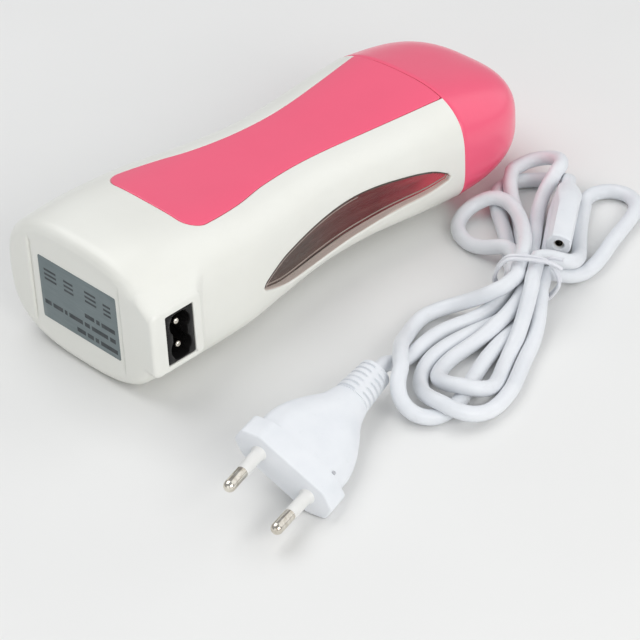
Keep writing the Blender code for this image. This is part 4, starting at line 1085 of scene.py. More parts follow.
def boss_rings():
    """The inlet boss from inside the casing to its front face, round the rim and down into the inlet."""
    front = -BOSS_REACH
    rings = []

    def ring(y, inset, radius):
        wider, taller = boss_growth(y)
        low = (BOSS_X[0] + inset, BOSS_Z[0] + inset)
        high = (BOSS_X[1] + wider - inset, BOSS_Z[1] + taller - inset)
        rings.append([(x, y, z) for x, z in rounded_box(low, high, max(radius, 0.3))])

    def hole(grow, radius=0.5):
        wide, tall = (INLET_WIDTH + GAP) / 2 + grow, (INLET_HEIGHT + GAP) / 2 + grow
        return rounded_box((INLET_X - wide, INLET_Z - tall), (INLET_X + wide, INLET_Z + tall), radius)

    for y in spread(-25.0, front + BOSS_FILLET, 18):
        ring(y, 0.0, BOSS_ROUND)
    for a in spread(0.0, math.pi / 2, 8)[1:]:
        inset = BOSS_FILLET * (1 - math.cos(a))
        ring(front + BOSS_FILLET * (1 - math.sin(a)), inset, BOSS_ROUND - inset * 0.6)
    outer, mouth = np.array(rings[-1])[:, (0, 2)], hole(BOSS_RIM, 0.8)
    for share in (0.25, 0.5, 0.75, 0.93, 1.0):
        rings.append([(x, front, z) for x, z in outer * (1 - share) + mouth * share])
    for a in spread(0.0, math.pi / 2, 5)[1:]:
        y = front + BOSS_RIM * (1 - math.cos(a))
        rings.append([(x, y, z) for x, z in hole(BOSS_RIM * (1 - math.sin(a)))])
    for y in (front + 1.2, front + 2.35):
        rings.append([(x, y, z) for x, z in hole(0.0)])
    return rings


def temporary(name, points, faces, marked):
    """A plain mesh object in heater millimetres whose marked faces have the second material."""
    data = bpy.data.meshes.new(name)
    data.from_pydata([tuple(p) for p in points], [], [tuple(map(int, f)) for f in faces])
    for label in ("kept", "marked"):
        data.materials.append(bpy.data.materials.new(name + label))
    data.polygons.foreach_set("material_index", np.asarray(marked, np.int32))
    weld(data, 0.003)
    return add_object(name, data)


def joined(first, second):
    """The union of two closed temporary objects, as a bmesh; both are removed."""
    step = first.modifiers.new("union", "BOOLEAN")
    step.operation = "UNION"
    step.solver = "EXACT"
    step.object = second
    scene_graph = bpy.context.evaluated_depsgraph_get()
    work = bmesh.new()
    work.from_mesh(first.evaluated_get(scene_graph).to_mesh())
    for obj in (first, second):
        data = obj.data
        bpy.data.objects.remove(obj)
        bpy.data.meshes.remove(data)
    for mat in [m for m in bpy.data.materials if m.name.endswith(("kept", "marked"))]:
        bpy.data.materials.remove(mat)
    return work


def soften_junction(work, rounds=12):
    """Round off the inner corner between the casing and the inlet boss."""
    bmesh.ops.triangulate(work, faces=[f for f in work.faces if len(f.verts) > 4])
    work.verts.ensure_lookup_table()
    points = np.array([tuple(v.co) for v in work.verts])
    x, y, z = points.T
    _, half_height, middle, square = casing_rows(np.clip(x, 0, SEAM_X))
    inset = BASE_EDGE - np.sqrt(np.maximum(BASE_EDGE**2 - (BASE_EDGE - np.clip(x, 0, BASE_EDGE)) ** 2, 0))
    half_width = casing_rows(np.clip(x, 0, SEAM_X))[0] - inset
    upward = np.minimum(abs((z - middle) / (half_height - inset)), 1)
    wall = half_width * (1 - upward**square) ** (1 / square)
    off_casing = abs(-y - wall)
    low = np.array((BOSS_X[0], BOSS_Z[0]))
    high = np.array((BOSS_X[1], BOSS_Z[1])) + np.stack(boss_growth(y), axis=-1)
    beyond = abs(points[:, (0, 2)] - (low + high) / 2) - (high - low) / 2 + BOSS_ROUND
    off_boss = np.linalg.norm(np.maximum(beyond, 0), axis=1) + np.minimum(beyond.max(axis=1), 0) - BOSS_ROUND
    nearness = [np.clip(1.5 - distance / BOSS_JUNCTION, 0, 1) for distance in (off_casing, abs(off_boss))]
    weight = nearness[0] * nearness[1]
    weight[(x > BOSS_FAR[0]) | (y > BOSS_FAR[1]) | (off_boss < -1.2)] = 0
    edges = np.array([(e.verts[0].index, e.verts[1].index) for e in work.edges])
    count = np.bincount(edges.ravel(), minlength=len(points))[:, None]
    for _ in range(rounds):
        total = np.zeros_like(points)
        np.add.at(total, edges[:, 0], points[edges[:, 1]])
        np.add.at(total, edges[:, 1], points[edges[:, 0]])
        points += 0.6 * weight[:, None] * (total / count - points)
    for vert, point in zip(work.verts, points):
        vert.co = point


def grow_wall(work, edges, moves):
    """Extrude an open boundary by each (function of a point) in turn, as the wall behind an opening."""
    for move in moves:
        made = bmesh.ops.extrude_edge_only(work, edges=edges)["geom"]
        for vert in [g for g in made if isinstance(g, bmesh.types.BMVert)]:
            vert.co = Vector(move(vert.co))
        edges = [g for g in made if isinstance(g, bmesh.types.BMEdge) and g.is_boundary]


def narrowed(point, inset, along):
    """A point of the open end moved towards the middle of its section, and along the heater."""
    middle = (CASING[-1][2] + CASING[-1][3]) / 2
    half = (CASING[-1][1], (CASING[-1][2] - CASING[-1][3]) / 2)
    y = point[1] * (1 - inset / half[0])
    z = middle + (point[2] - middle) * (1 - inset / half[1])
    return (point[0] + along, y, z)


def open_casing():
    """The casing with its boss, as a bmesh that is open at the window, the inlet and the seam."""
    skin, faces, opening, near, seam_end = casing_sheet()
    base, base_faces = base_sheet(near)
    all_faces = [*map(tuple, faces), *map(tuple, base_faces + len(skin)), tuple(seam_end)]
    marked = [*opening.astype(int), *[0] * len(base_faces), 1]
    casing = temporary("casing_skin", np.vstack((skin, base)), all_faces, marked)
    boss_points, boss_faces = loft(boss_rings())
    boss = temporary("boss_block", boss_points, boss_faces, [0] * (len(boss_faces) - 1) + [1])
    work = joined(casing, boss)
    bmesh.ops.delete(work, geom=[f for f in work.faces if f.material_index == 1], context="FACES")
    soften_junction(work)
    return work


def wall_openings(work):
    """Give the casing's three openings their depth."""
    rims = {"window": [], "inlet": [], "seam": []}
    for edge in work.edges:
        if not edge.is_boundary:
            continue
        middle = (edge.verts[0].co + edge.verts[1].co) / 2
        where = "seam" if middle.x > SKIN_END - 1 else ("inlet" if middle.x < BOSS_FAR[0] else "window")
        rims[where].append(edge)

    def inwards(share):
        return lambda p: (p[0], p[1] + share * (window_depth(p[0]) - PANE_GAP), p[2])

    grow_wall(work, rims["window"], (inwards(0.4), inwards(0.6)))
    grow_wall(work, rims["inlet"], [lambda p: (p[0], p[1] + BOSS_WALL_STEP, p[2])] * 2)
    grow_wall(work, rims["seam"], [lambda p, step=step: narrowed(p, *step) for step in SEAM_WALL])


def make_casing(mats):
    """The ivory casing with its inlet boss, window opening, panel recess and open cap end."""
    work = open_casing()
    wall_openings(work)
    for face in work.faces:
        face.material_index = 0
    work.verts.ensure_lookup_table()
    bent = bow([tuple(v.co) for v in work.verts])
    faces = [tuple(v.index for v in f.verts) for f in work.faces]
    work.free()
    casing = mesh_piece("casing", bent, faces, mats["ivory"], slot="shell_ivory", replaces=["main_shell"],
                        sharp=38)
    middles = face_middles(casing)
    skin = to_skin(middles[:, (0, 2)], "side")
    sunk = middles[:, 1] - casing_points(skin[:, 0], skin[:, 1])[:, 1]
    off_rim = abs(signed_distance(middles[:, (0, 2)], window_outline()))
    # painted light: the wall of the window opening gets the lighter, painted-lit copy of the ivory
    paint(casing, mats["ledge"], (off_rim < 0.3) & (sunk > 0.5) & on_face(middles, "side"))


def inlay(name, outline, face, depth, radius, rise, mat, **how):
    """A plate let into the casing: its top follows the skin, its edges are rounded, its sides go to depth."""
    steps = (0.0, -0.02, -0.3 * radius, -0.65 * radius, -radius, -radius - 0.3)
    low, high = outline.min(axis=0), outline.max(axis=0)
    free = skin_grid(low[0] - 1, high[0] + 1, INLAY_PITCH)
    flat = casing_points(free[:, 0], free[:, 1])
    distance = signed_distance(to_plane(flat, face), outline)
    free = free[on_face(flat, face) & (distance < -radius - 0.7)]
    skin, faces = triangulate_skin(feature_lines(outline, face, steps), free)
    flat = casing_points(skin[:, 0], skin[:, 1])
    distance = signed_distance(to_plane(flat, face), outline)
    middles = to_plane(flat[faces].mean(axis=1), face)
    faces = faces[signed_distance(middles, outline) < -0.004]
    lift = rise(skin[:, 0]) if callable(rise) else rise
    sunk = np.where(distance > -0.01, depth, edge_fillet(-distance, radius) - lift)
    shaped = casing_points(skin[:, 0], skin[:, 1], sunk)
    return mesh_piece(name, bow(shaped), [tuple(map(int, f)) for f in faces], mat, **how)


def bead(name, outline, radius, mat, sides=10):
    """A fine raised line on the inner pane, just inside the window's outline."""
    skin = to_skin(outline, "side")
    path = casing_points(skin[:, 0], skin[:, 1], window_depth(skin[:, 0]))
    ahead = np.roll(path, -1, axis=0) - np.roll(path, 1, axis=0)
    ahead /= np.linalg.norm(ahead, axis=1, keepdims=True)
    across = np.cross(ahead, (0.0, 1.0, 0.0))
    across /= np.linalg.norm(across, axis=1, keepdims=True)
    turns = [math.tau * k / sides for k in range(sides)]
    rings = []
    for p, a, b in zip(path, across, np.cross(across, ahead)):
        rings.append(bow([p + radius * (math.cos(t) * a + math.sin(t) * b) for t in turns]))
    lofted(name, rings, mat, closed=True, slot="lens_clear", sharp=80)


def make_inlays(mats):
    """The front panel, the back cover, the window's lens with a painted shade band and a painted highlight
    line along its upper edge, and the pane and bead behind it.
    """
    panel = offset(evenly(panel_outline(SKIN_END - 0.02)), -PANEL_CLEARANCE)
    inlay("pink_front_panel", panel, "top", depth=1.1, radius=0.35, rise=0.06, mat=mats["panel"],
          slot="panel_pink", replaces=["front_panel"])
    cover = offset(evenly(cover_outline()), -COVER_CLEARANCE)
    inlay("back_plate", cover, "under", depth=1.6, radius=0.4, rise=0.0, mat=mats["cover"],
          slot="cover_ivory", replaces=["back_cover"])
    window = evenly(window_outline())
    lens = inlay("lens_plate", offset(window, -LENS_CLEARANCE), "side", depth=1.7, radius=0.7,
                 rise=-0.25, mat=mats["lens"], slot="lens_clear", replaces=["window_lens"])
    middles = face_middles(lens)
    inwards = -signed_distance(middles[:, (0, 2)], window_outline())
    edges = np.array([smooth_row(WINDOW, x) for x in middles[:, 0]])
    upper = middles[:, 2] - edges[:, 0] > 0.45 * (edges[:, 1] - edges[:, 0])
    # painted shade: a dark band just inside the lens's upper edge
    paint(lens, mats["rim"], upper & (inwards > LENS_SHADE_BAND[0]) & (inwards < LENS_SHADE_BAND[1]))
    # painted highlight: a light line further in, in the bead's colour
    highlight_band = (inwards > LENS_HIGHLIGHT_BAND[0]) & (inwards < LENS_HIGHLIGHT_BAND[1]) & (middles[:, 0] < LENS_HIGHLIGHT_END)
    paint(lens, mats["bead"], upper & highlight_band)
    inlay("inner_pane", offset(window, PANE_OVERLAP), "side", depth=3.5, radius=0.1,
          rise=lambda x: -window_depth(x), mat=mats["pane"], slot="lens_clear")
    bead("pane_bead", offset(window, -BEAD_INSET), BEAD_RADIUS, mats["bead"])


# ---------------------------------------------------------------- cap and neck


def oval(x, half_width, half_height, middle, square, count=200, low=0.0):
    """A superellipse across the heater, cut off below at a height."""
    ring = []
    for i in range(count):
        angle = math.tau * i / count
        c, s = math.cos(angle), math.sin(angle)
        reach = (abs(c) ** square + abs(s) ** square) ** (-1 / square)
        ring.append((x, half_width * reach * c, max(middle + half_height * reach * s, low)))
    return ring


def cap_section(u, inset):
    """Half width, half height, middle height and squareness of the cap, u of the way from seam to tip."""
    half_width, seam_top, seam_under, square = CASING[-1][1:]
    plan = (1 - u**CAP_PLAN_POWER) ** (1 / CAP_PLAN_POWER)
    side = (1 - u**CAP_SIDE_POWER) ** (1 / CAP_SIDE_POWER)
    top = seam_top - CAP_TOP_FALL * u
    under = seam_under + CAP_UNDER_RISE * u**2
    wide = (half_width + CAP_FLARE * u**CAP_FLARE_POWER) * plan
    return wide - inset, (top - under) / 2 * side - inset, (top + under) / 2, square


def eased(last, power, count):
    """Numbers from 0 that crowd together towards 1."""
    return [1 - (1 - t) ** power for t in spread(0.0, last, count)]


def make_cap(mats):
    """The pink cap: a hollow shell with a small rounded edge at the seam."""
    start = SEAM_X + GAP / 2
    run = CAP_LENGTH - GAP / 2
    rings = []
    for u in eased(0.965, 2.6, 96)[::-1]:
        x = start + run * u
        edge = edge_fillet(np.array([x - start]), CAP_EDGE)[0]
        rings.append(oval(x, *cap_section(u, float(edge))))
    for u in eased(0.9, 2.2, 34):
        rings.append(oval(start + (run - CAP_WALL) * u, *cap_section(u, CAP_WALL), low=CAP_WALL))
    lofted("pink_cap", [bow(ring) for ring in rings], mats["cap"], body="cap", slot="cap_pink",
           replaces=["cap"], sharp=50)


def neck_section(x, inset, drop=0.0):
    """Half width, half height, middle height and squareness of the collar at x."""
    half_width, top, under, square = smooth_row(CASING, x)
    half_height, middle = (top - under) / 2 - inset, (top + under) / 2
    return half_width - inset, half_height, max(middle, half_height + inset) - drop, square


def make_neck(mats):
    """The collar that the cap pushes onto; its mouth leads a cartridge into the chamber."""
    start, end = SEAM_X - NECK_BACK, SEAM_X + NECK_REACH
    outside = WALL + GAP + 0.1
    inside = outside + NECK_WALL
    rings = [oval(x, *neck_section(x, outside)) for x in spread(start, SEAM_X, 5)]
    for a in spread(0.0, math.pi / 2, 6):
        section = neck_section(SEAM_X, inside - 0.8 * math.cos(a), 0.5)
        rings.append(oval(end - 0.8 + 0.8 * math.sin(a), *section))
    for a in spread(0.0, math.pi / 2, 4):
        grow = 0.5 * (1 - math.sin(a))
        x = end - 0.5 * (1 - math.cos(a))
        rings.append(oval(x, NECK_MOUTH[0] + grow, NECK_MOUTH[1] + grow, *NECK_MOUTH[2:]))
    rings += [oval(x, *NECK_MOUTH) for x in spread(end - 1.0, NECK_MOUTH_BACK, 4)]
    rings += [oval(x, *neck_section(x, inside)) for x in spread(NECK_MOUTH_BACK, start, 4)]
    lofted("cap_neck", rings, mats["inner"], closed=True, slot="inner_plastic", replaces=["cap_collar"],
           sharp=50)


# ---------------------------------------------------------------- base end: inlet and label


def eight(half_length, half_width, waist, count=96):
    """The figure-of-eight outline of the two-pin connection, in (across, up), from the right going up."""
    outline = []
    centre = half_length - half_width
    for i in range(count):
        angle = math.tau * i / count
        c, s = math.cos(angle), math.sin(angle)
        reach = abs(centre * s) + math.sqrt(max(half_width**2 - (centre * c) ** 2, 0.0))
        side = waist / max(abs(c), 1e-6)
        lobe = half_width**2 - (centre * c) ** 2 > 0
        length = max(reach if lobe else 0.0, min(side, half_length))
        outline.append((length * c, length * s))
    return outline


def make_inlet(mats):
    """The black two-pin inlet: a square-edged front with a deep figure-of-eight well, and its two pins."""
    half, tall = INLET_WIDTH / 2, INLET_HEIGHT / 2
    count = 160
    rings = []
    for behind, inset in ((-SOCKET_FRONT - 26.0, 0.0), (0.3, 0.0), (0.08, 0.06), (0.0, 0.2)):
        box = rounded_box((-half + inset, -tall + inset), (half - inset, tall - inset), 0.6, count)
        turn = np.argmin(abs(np.arctan2(box[:, 1], box[:, 0])))
        y = SOCKET_FRONT + behind
        rings.append([(INLET_X + a, y, INLET_Z + b) for a, b in np.roll(box, -turn, axis=0)])
    bottom = SOCKET_DEPTH
    for behind, grow in ((0.0, 0.2), (0.06, 0.06), (0.2, 0.0), (bottom - 0.3, 0.0), (bottom, -0.3)):
        shape = eight(PIN_PITCH / 2 + SOCKET_RADIUS + grow, SOCKET_RADIUS + grow, SOCKET_WAIST + grow, count)
        rings.append([(INLET_X + a, SOCKET_FRONT + behind, INLET_Z + b) for a, b in shape])
    lofted("inlet_moulding", rings, mats["black"], slot="inlet_black", replaces=["inlet_socket"], sharp=40)
    nose = [(0.9 - 0.9 * math.cos(a), INLET_PIN_RADIUS * math.sin(a)) for a in spread(0.3, math.pi / 2, 7)]
    profile = [(0.0, 0.02), *nose, (INLET_PIN_LENGTH, INLET_PIN_RADIUS)]
    for name, side in (("upper", 1), ("lower", -1)):
        at = (INLET_X, SOCKET_FRONT + 1.0, INLET_Z + side * PIN_PITCH / 2)
        lofted(f"inlet_contact_{name}", turned(profile, at, (0, 1, 0), 32), mats["nickel"], slot="nickel",
               replaces=[f"inlet_pin_{name}"])


def label_bar(marks, y, z, long, tall):
    """A flat printed bar on the label, from its left end."""
    marks.append([(y, z), (y - long, z), (y - long, z + tall), (y, z + tall)])


def greeked_line(marks, right, z, words):
    """A line of text reduced to one bar for each word, ending at the right."""
    y = right
    for long in words[::-1]:
        label_bar(marks, y + long, z, long, LABEL_WORD)
        y += long + LABEL_WORD_GAP


def make_label(mats):
    """The grey rating label with plain bars in place of its writing and marks."""
    low, high = (LABEL_Y[0], LABEL_Z[0]), (LABEL_Y[1], LABEL_Z[1])
    face = BASE_RECESS - LABEL_THICKNESS
    rings = []
    for x, inset in ((BASE_RECESS + 0.1, 0.0), (face + 0.05, 0.0), (face, 0.06)):
        box = rounded_box((low[0] + inset, low[1] + inset), (high[0] - inset, high[1] - inset), 0.5)
        rings.append([(x, y, z) for y, z in box])
    lofted("data_label", rings, mats["label"], slot="label_grey", replaces=["rating_label"])
    marks = []
    for y, z, width in LABEL_BLOCKS:
        for row in (-1, 0, 1):
            label_bar(marks, y + width / 2, z + LABEL_BAR_PITCH * row - LABEL_BAR / 2, width, LABEL_BAR)
    for line in LABEL_LINES:
        greeked_line(marks, *line)
    points, faces = [], []
    for mark in marks:
        first = len(points)
        points += [(face + height, y, z) for height in (-0.03, 0.02) for y, z in mark]
        faces.append(tuple(range(first, first + 4)))
        for i in range(4):
            j = (i + 1) % 4
            faces.append((first + i, first + j, first + 4 + j, first + 4 + i))
    mesh_piece("label_print", points, faces, mats["ink"], slot="label_grey")


# ---------------------------------------------------------------- plug, boot and connector


def plug_frame():
    """Plug frame to heater frame: x out along the pins, y towards the raised pin, z out of the lower side."""
    yaw, nose, roll = (math.radians(a) for a in (PLUG_YAW, PLUG_NOSE_UP, PLUG_ROLL))
    along = Vector((math.cos(nose) * math.cos(yaw), math.cos(nose) * math.sin(yaw), math.sin(nose)))
    level = Vector((math.sin(yaw), -math.cos(yaw), 0.0))
    raised = level.cross(along)
    across = level * math.cos(roll) + raised * math.sin(roll)
    return basis(along, across, PLUG_AT)


def rounded_polygon(corners, radius, steps=9):
    """A polygon with each corner rounded off by a smooth curve."""
    outline = []
    for i, corner in enumerate(corners):
        here = Vector(corner)
        before = Vector(corners[i - 1]) - here
        after = Vector(corners[(i + 1) % len(corners)]) - here
        reach = min(radius, before.length / 2.2, after.length / 2.2)
        start = here + before.normalized() * reach
        end = here + after.normalized() * reach
        for t in spread(0.0, 1.0, steps):
            outline.append(start * (1 - t) ** 2 + here * 2 * t * (1 - t) + end * t**2)
    return outline


def plug_ring(behind, half_width, half_thick, corner):
    """The plug's bevelled section behind its front face."""
    shoulder = half_width - min(5.15, 0.6 * half_width)
    edge = 0.44 * half_thick
    upper = ((half_width, edge), (shoulder, half_thick), (-shoulder, half_thick), (-half_width, edge))
    corners = ((half_width, -edge), *upper, *((y, -z) for y, z in upper[:0:-1]))
    return [(-behind, y, z) for y, z in rounded_polygon(corners, corner)]


def make_plug(mats):
    """The flat two-pin plug: a bevelled flange, a tapering grip and two sleeved pins."""
    turn = plug_frame()
    rows = list(PLUG_FLANGE)
    flange_end, grip_end = PLUG_FLANGE[-1][0], PLUG_BODY[-1][0]
    for behind in spread(9.6, grip_end, 46):
        corner = 1.5 + 2.2 * (behind - flange_end) / (grip_end - flange_end)
        rows.append((behind, *smooth_row(PLUG_BODY[2:], behind), corner))
    rings = [[turn @ Vector(p) for p in plug_ring(*row)] for row in rows]
    lofted("plug_moulding", rings, mats["plug"], slot="plug_white", replaces=["plug_body"], sharp=42)
    for name, side in (("left", 1), ("right", -1)):
        make_pin(name, side, turn, mats)
    behind, aside = GATE_MARK_AT
    foot = turn @ Vector((-behind, aside, 0.1 - smooth_row(PLUG_BODY, behind)[1]))
    profile = ((-0.4, 0.66), (0.26, 0.62), (0.36, 0.5), (0.34, 0.3), (0.20, 0.2))
    upwards = turn.to_3x3() @ Vector((0, 0, -1))
    # the nub is painted grey as the shade of a small dimple
    lofted("plug_gate_mark", turned(profile, foot, upwards, 24), mats["gate"], slot="plug_white")


def make_pin(name, side, turn, mats):
    """One pin of the plug: a sleeve with a collar at the plug, and a bare tip with a rounded end."""
    root = Vector((0, side * PLUG_PIN_PITCH / 2, 0))
    tip = Vector((PLUG_PIN_LENGTH, side * PLUG_PIN_TIP_PITCH / 2, 0))
    direction = (tip - root).normalized()
    start, aim = turn @ (root - direction * PLUG_PIN_ROOT), turn.to_3x3() @ direction
    sleeve = [(0.0, 2.55), (0.75, 2.5), (1.1, 2.2), (1.5, PLUG_PIN_RADIUS),
              (PLUG_SLEEVE_LENGTH - 0.15, PLUG_PIN_RADIUS), (PLUG_SLEEVE_LENGTH, 1.88)]
    lofted(f"pin_sleeve_{name}", turned(sleeve, start, aim), mats["sleeve"], slot="sleeve_cream",
           replaces=[f"plug_sleeve_{name}"])
    hidden = PLUG_SLEEVE_LENGTH - 0.2
    length = (tip - root).length + PLUG_PIN_ROOT - hidden
    straight = length - 1.9
    bar = [(0.0, 1.86), (straight, 1.9)]
    for a in spread(0.25, math.pi / 2, 8):
        bar.append((straight + 1.9 * math.sin(a), 0.02 + 1.88 * math.cos(a)))
    lofted(f"pin_tip_{name}", turned(bar, start + aim * hidden, aim), mats["nickel"], slot="nickel",
           replaces=[f"plug_pin_{name}"])


def squared(share, power=0.8):
    """A cosine or sine raised to a power, sign kept, for a section between an ellipse and a rectangle."""
    return math.copysign(abs(share) ** power, share)


def groove_depth(share, angle):
    """How deep the boot is grooved, from 0 to 1: share of a pitch along it, and at an angle around it."""
    spine = (abs(math.cos(angle)) - BOOT_SPINE) / BOOT_SPINE
    stagger = 0.25 if math.cos(angle) > 0 else -0.25
    groove = (BOOT_GROOVE_HALF - abs((share + stagger) % 1.0 - 0.5)) / 0.05
    return min(1.0, max(0.0, groove)) * min(1.0, max(0.0, spine))


def make_boot(mats):
    """The plug's tapered boot: staggered ribs on its two sides with a plain spine between them."""
    turn = plug_frame()
    start = PLUG_BODY[-1][0] + 0.02
    length = RELIEF_LENGTH + GAP
    pitch = length / RELIEF_RIBS
    rings = []
    for k, along in enumerate(spread(0.0, length, BOOT_RINGS)):
        fade = min(1.0, along) * min(1.0, length - along)
        taper = 1.04 - 0.16 * along / length
        end = 0.10 if k == BOOT_RINGS - 1 else 0.0
        ring = []
        for angle in spread(0.0, math.tau, 97)[:-1]:
            scale = taper * (1 - BOOT_GROOVE * groove_depth(along / pitch, angle) * fade) - end
            across, up = (squared(share(angle)) for share in (math.cos, math.sin))
            point = (-start - along, RELIEF_HALF[0] * scale * across, RELIEF_HALF[1] * scale * up)
            ring.append(turn @ Vector(point))
        rings.append(ring)
    lofted("cord_boot", rings, mats["plug"], slot="plug_white", replaces=["plug_strain_relief"], sharp=60)


def connector_frame():
    """Connector frame to heater frame: x out of the face, y towards the upper contact."""
    along = (Vector(CONNECTOR_AT) - Vector(CONNECTOR_REAR)).normalized()
    level = along.cross(Vector((0, 0, 1))).normalized()
    tilt = math.radians(CONNECTOR_TILT)
    upright = level * -math.sin(tilt) + Vector((0, 0, 1)) * math.cos(tilt)
    return basis(along, upright, CONNECTOR_AT)


def make_connector(mats):
    """The two-hole connector: rounded figure-of-eight front, swelling body and a tapered rear."""
    turn = connector_frame()
    stops = [0.0, 0.12, 0.4, 0.8] + spread(1.5, CONNECTOR_LENGTH - 0.4, 44)
    rings = []
    for behind in stops + [CONNECTOR_LENGTH - 0.1, CONNECTOR_LENGTH]:
        half_length, half_width = smooth_row(CONNECTOR_BODY, behind)
        waist = half_width * min(1.0, 0.80 + 0.25 * max(0.0, behind - 20.0) / 12.0)
        shape = eight(half_length, half_width, waist)
        rings.append([turn @ Vector((-behind, b, a)) for a, b in shape])
    body = lofted("connector_moulding", rings, mats["plug"], slot="plug_white", replaces=["connector_body"],
                  sharp=45)
    for side in (1, -1):
        bore(body, turn, side * PIN_PITCH / 2)


def bore(obj, turn, y):
    """Cut a contact hole with a small lead-in into the connector's face."""
    inwards = turn.to_3x3() @ Vector((-1, 0, 0))
    points, faces = loft(turned(CONTACT_HOLE, turn @ Vector((0.0, y, 0.0)), inwards, 40))
    data = bpy.data.meshes.new("bore")
    data.from_pydata(place(points).tolist(), [], faces)
    weld(data, WELD)
    tool = add_object("bore", data)
    step = obj.modifiers.new("bore", "BOOLEAN")
    step.operation = "DIFFERENCE"
    step.solver = "EXACT"
    step.object = tool
    bpy.context.view_layer.update()
    cut = bpy.data.meshes.new_from_object(obj.evaluated_get(bpy.context.evaluated_depsgraph_get()))
    obj.modifiers.clear()
    obj.data = cut
    cut.set_sharp_from_angle(angle=math.radians(45))
    bpy.data.objects.remove(tool)


# ---------------------------------------------------------------- lead


def tie_frame(along, aside, height):
    """A point given along the bundle, across it and up, in the heater's frame."""
    turn = math.radians(TIE_TURN)
    x = TIE_AT[0] + along * math.cos(turn) + aside * math.sin(turn)
    y = TIE_AT[1] + along * math.sin(turn) - aside * math.cos(turn)
    return (x, y, height)


def lead_route():
    """The drawn middle line of the cord, from the plug's boot through the tie and on to the connector."""
    boot_end = PLUG_BODY[-1][0] + 2 * GAP + RELIEF_LENGTH
    rear = CONNECTOR_LENGTH + GAP
    route = [tuple(plug_frame() @ Vector((-boot_end - reach, 0, 0))) for reach in (0.0, 5.0)]
    for stretch, slot, direction in LEAD:
        route += stretch
        if slot:
            aside, height = TIE_SLOTS[slot]
            route += [tie_frame(direction * TIE_RUN * share, aside, height) for share in (-1, -0.4, 0.4, 1)]
    route += [tuple(connector_frame() @ Vector((-rear - reach, 0, 0))) for reach in (5.0, 0.0)]
    return route


def part_strands(line, free, pairs):
    """Push strands that cross or touch apart, to lie a diameter from each other."""
    first, second = pairs
    between = line[second] - line[first]
    distance = np.linalg.norm(between, axis=1)
    close = distance < CORD_SPACING
    first, second, distance = first[close], second[close], distance[close]
    push = between[close] * ((CORD_SPACING - distance) / np.maximum(distance, 1e-6))[:, None]
    share = free[first] / np.maximum(free[first] + free[second], 1.0)
    moves, counts = np.zeros_like(line), np.zeros(len(line))
    np.add.at(moves, first, -push * share[:, None])
    np.add.at(moves, second, push * (1 - share)[:, None] * free[second][:, None])
    np.add.at(counts, first, 1)
    np.add.at(counts, second, 1)
    return moves / np.maximum(0.6 * counts, 1)[:, None]


def stiffen(line, piece):
    """Take out kinks without shortening the loops, and open any bend tighter than the cord allows."""
    moves = np.zeros_like(line)
    for reach in (1, 2):
        bend = line[: -2 * reach] + line[2 * reach :] - 2 * line[reach:-reach]
        kink = bend[: -2 * reach] + bend[2 * reach :] - 2 * bend[reach:-reach]
        moves[2 * reach : -2 * reach] -= 0.05 * kink
    for span in (3, 5, 7):
        least = 2 * CORD_BEND * math.sin(min(span * piece / (2 * CORD_BEND), 1.45))
        chord = line[span:] - line[:-span]
        length = np.linalg.norm(chord, axis=1, keepdims=True)
        push = chord / length * np.maximum(least - length, 0) * 0.25
        moves[:-span] -= push
        moves[span:] += push
    return moves


def keep_spacing(line, piece):
    """Draw neighbouring points back to a piece's length from each other."""
    steps = np.diff(line, axis=0)
    lengths = np.linalg.norm(steps, axis=1, keepdims=True)
    moves = np.zeros_like(line)
    moves[:-1] += 0.5 * steps * (lengths - piece) / lengths
    moves[1:] -= 0.5 * steps * (lengths - piece) / lengths
    return moves


def clear_boot(line):
    """Keep the cord off the plug's boot, apart from its own first points."""
    start = np.array(plug_frame() @ Vector((-PLUG_BODY[-1][0], 0, 0)))
    run = np.array(lead_route()[0]) - start
    share = np.clip(((line - start) @ run) / (run @ run), 0, 1)
    away = line - start - share[:, None] * run
    distance = np.linalg.norm(away, axis=1)
    short = np.maximum(RELIEF_HALF[0] + CORD_RADIUS + GAP - distance, 0)
    short[:BOOT_CLEAR_FROM] = 0
    return away / np.maximum(distance, 1e-6)[:, None] * short[:, None]


def clear_connector(line):
    """Keep the cord beside the connector, which stands on its narrow side and leans."""
    frame = connector_frame()
    start, end = np.array(CONNECTOR_AT), np.array(CONNECTOR_REAR)
    run = end - start
    lean = np.array(frame.col[1][:3]) / frame.col[1][2]
    middle = start + (line[:, 2] - start[2])[:, None] * lean
    share = ((line - middle) @ run) / (run @ run)
    away = line - middle - np.clip(share, 0, 1)[:, None] * run
    distance = np.linalg.norm(away, axis=1)
    reach = (CONNECTOR_HALF + CORD_RADIUS + GAP) / math.cos(math.radians(CONNECTOR_TILT))
    short = np.where(share < 1, np.maximum(reach - distance, 0), 0)
    return away / np.maximum(distance, 1e-6)[:, None] * short[:, None]


def clear_cap(line):
    """Keep the cord out of the space that the cap slides through."""
    moves = np.zeros_like(line)
    half_width, top, under, square = CASING[-1][1:]
    half_height, mid_z = (top - under) / 2, (top + under) / 2
    room = CORD_RADIUS + 2 * GAP
    across = abs(line[:, 1] / (half_width + room)) ** square
    upward = abs((line[:, 2] - mid_z) / (half_height + room)) ** square
    inside = (across + upward < 1) & (line[:, 0] > SEAM_X - 4)
    moves[inside, 1] = -np.minimum(CAP_PUSH[0] * (1 - across - upward), CAP_PUSH[1])[inside]
    return moves


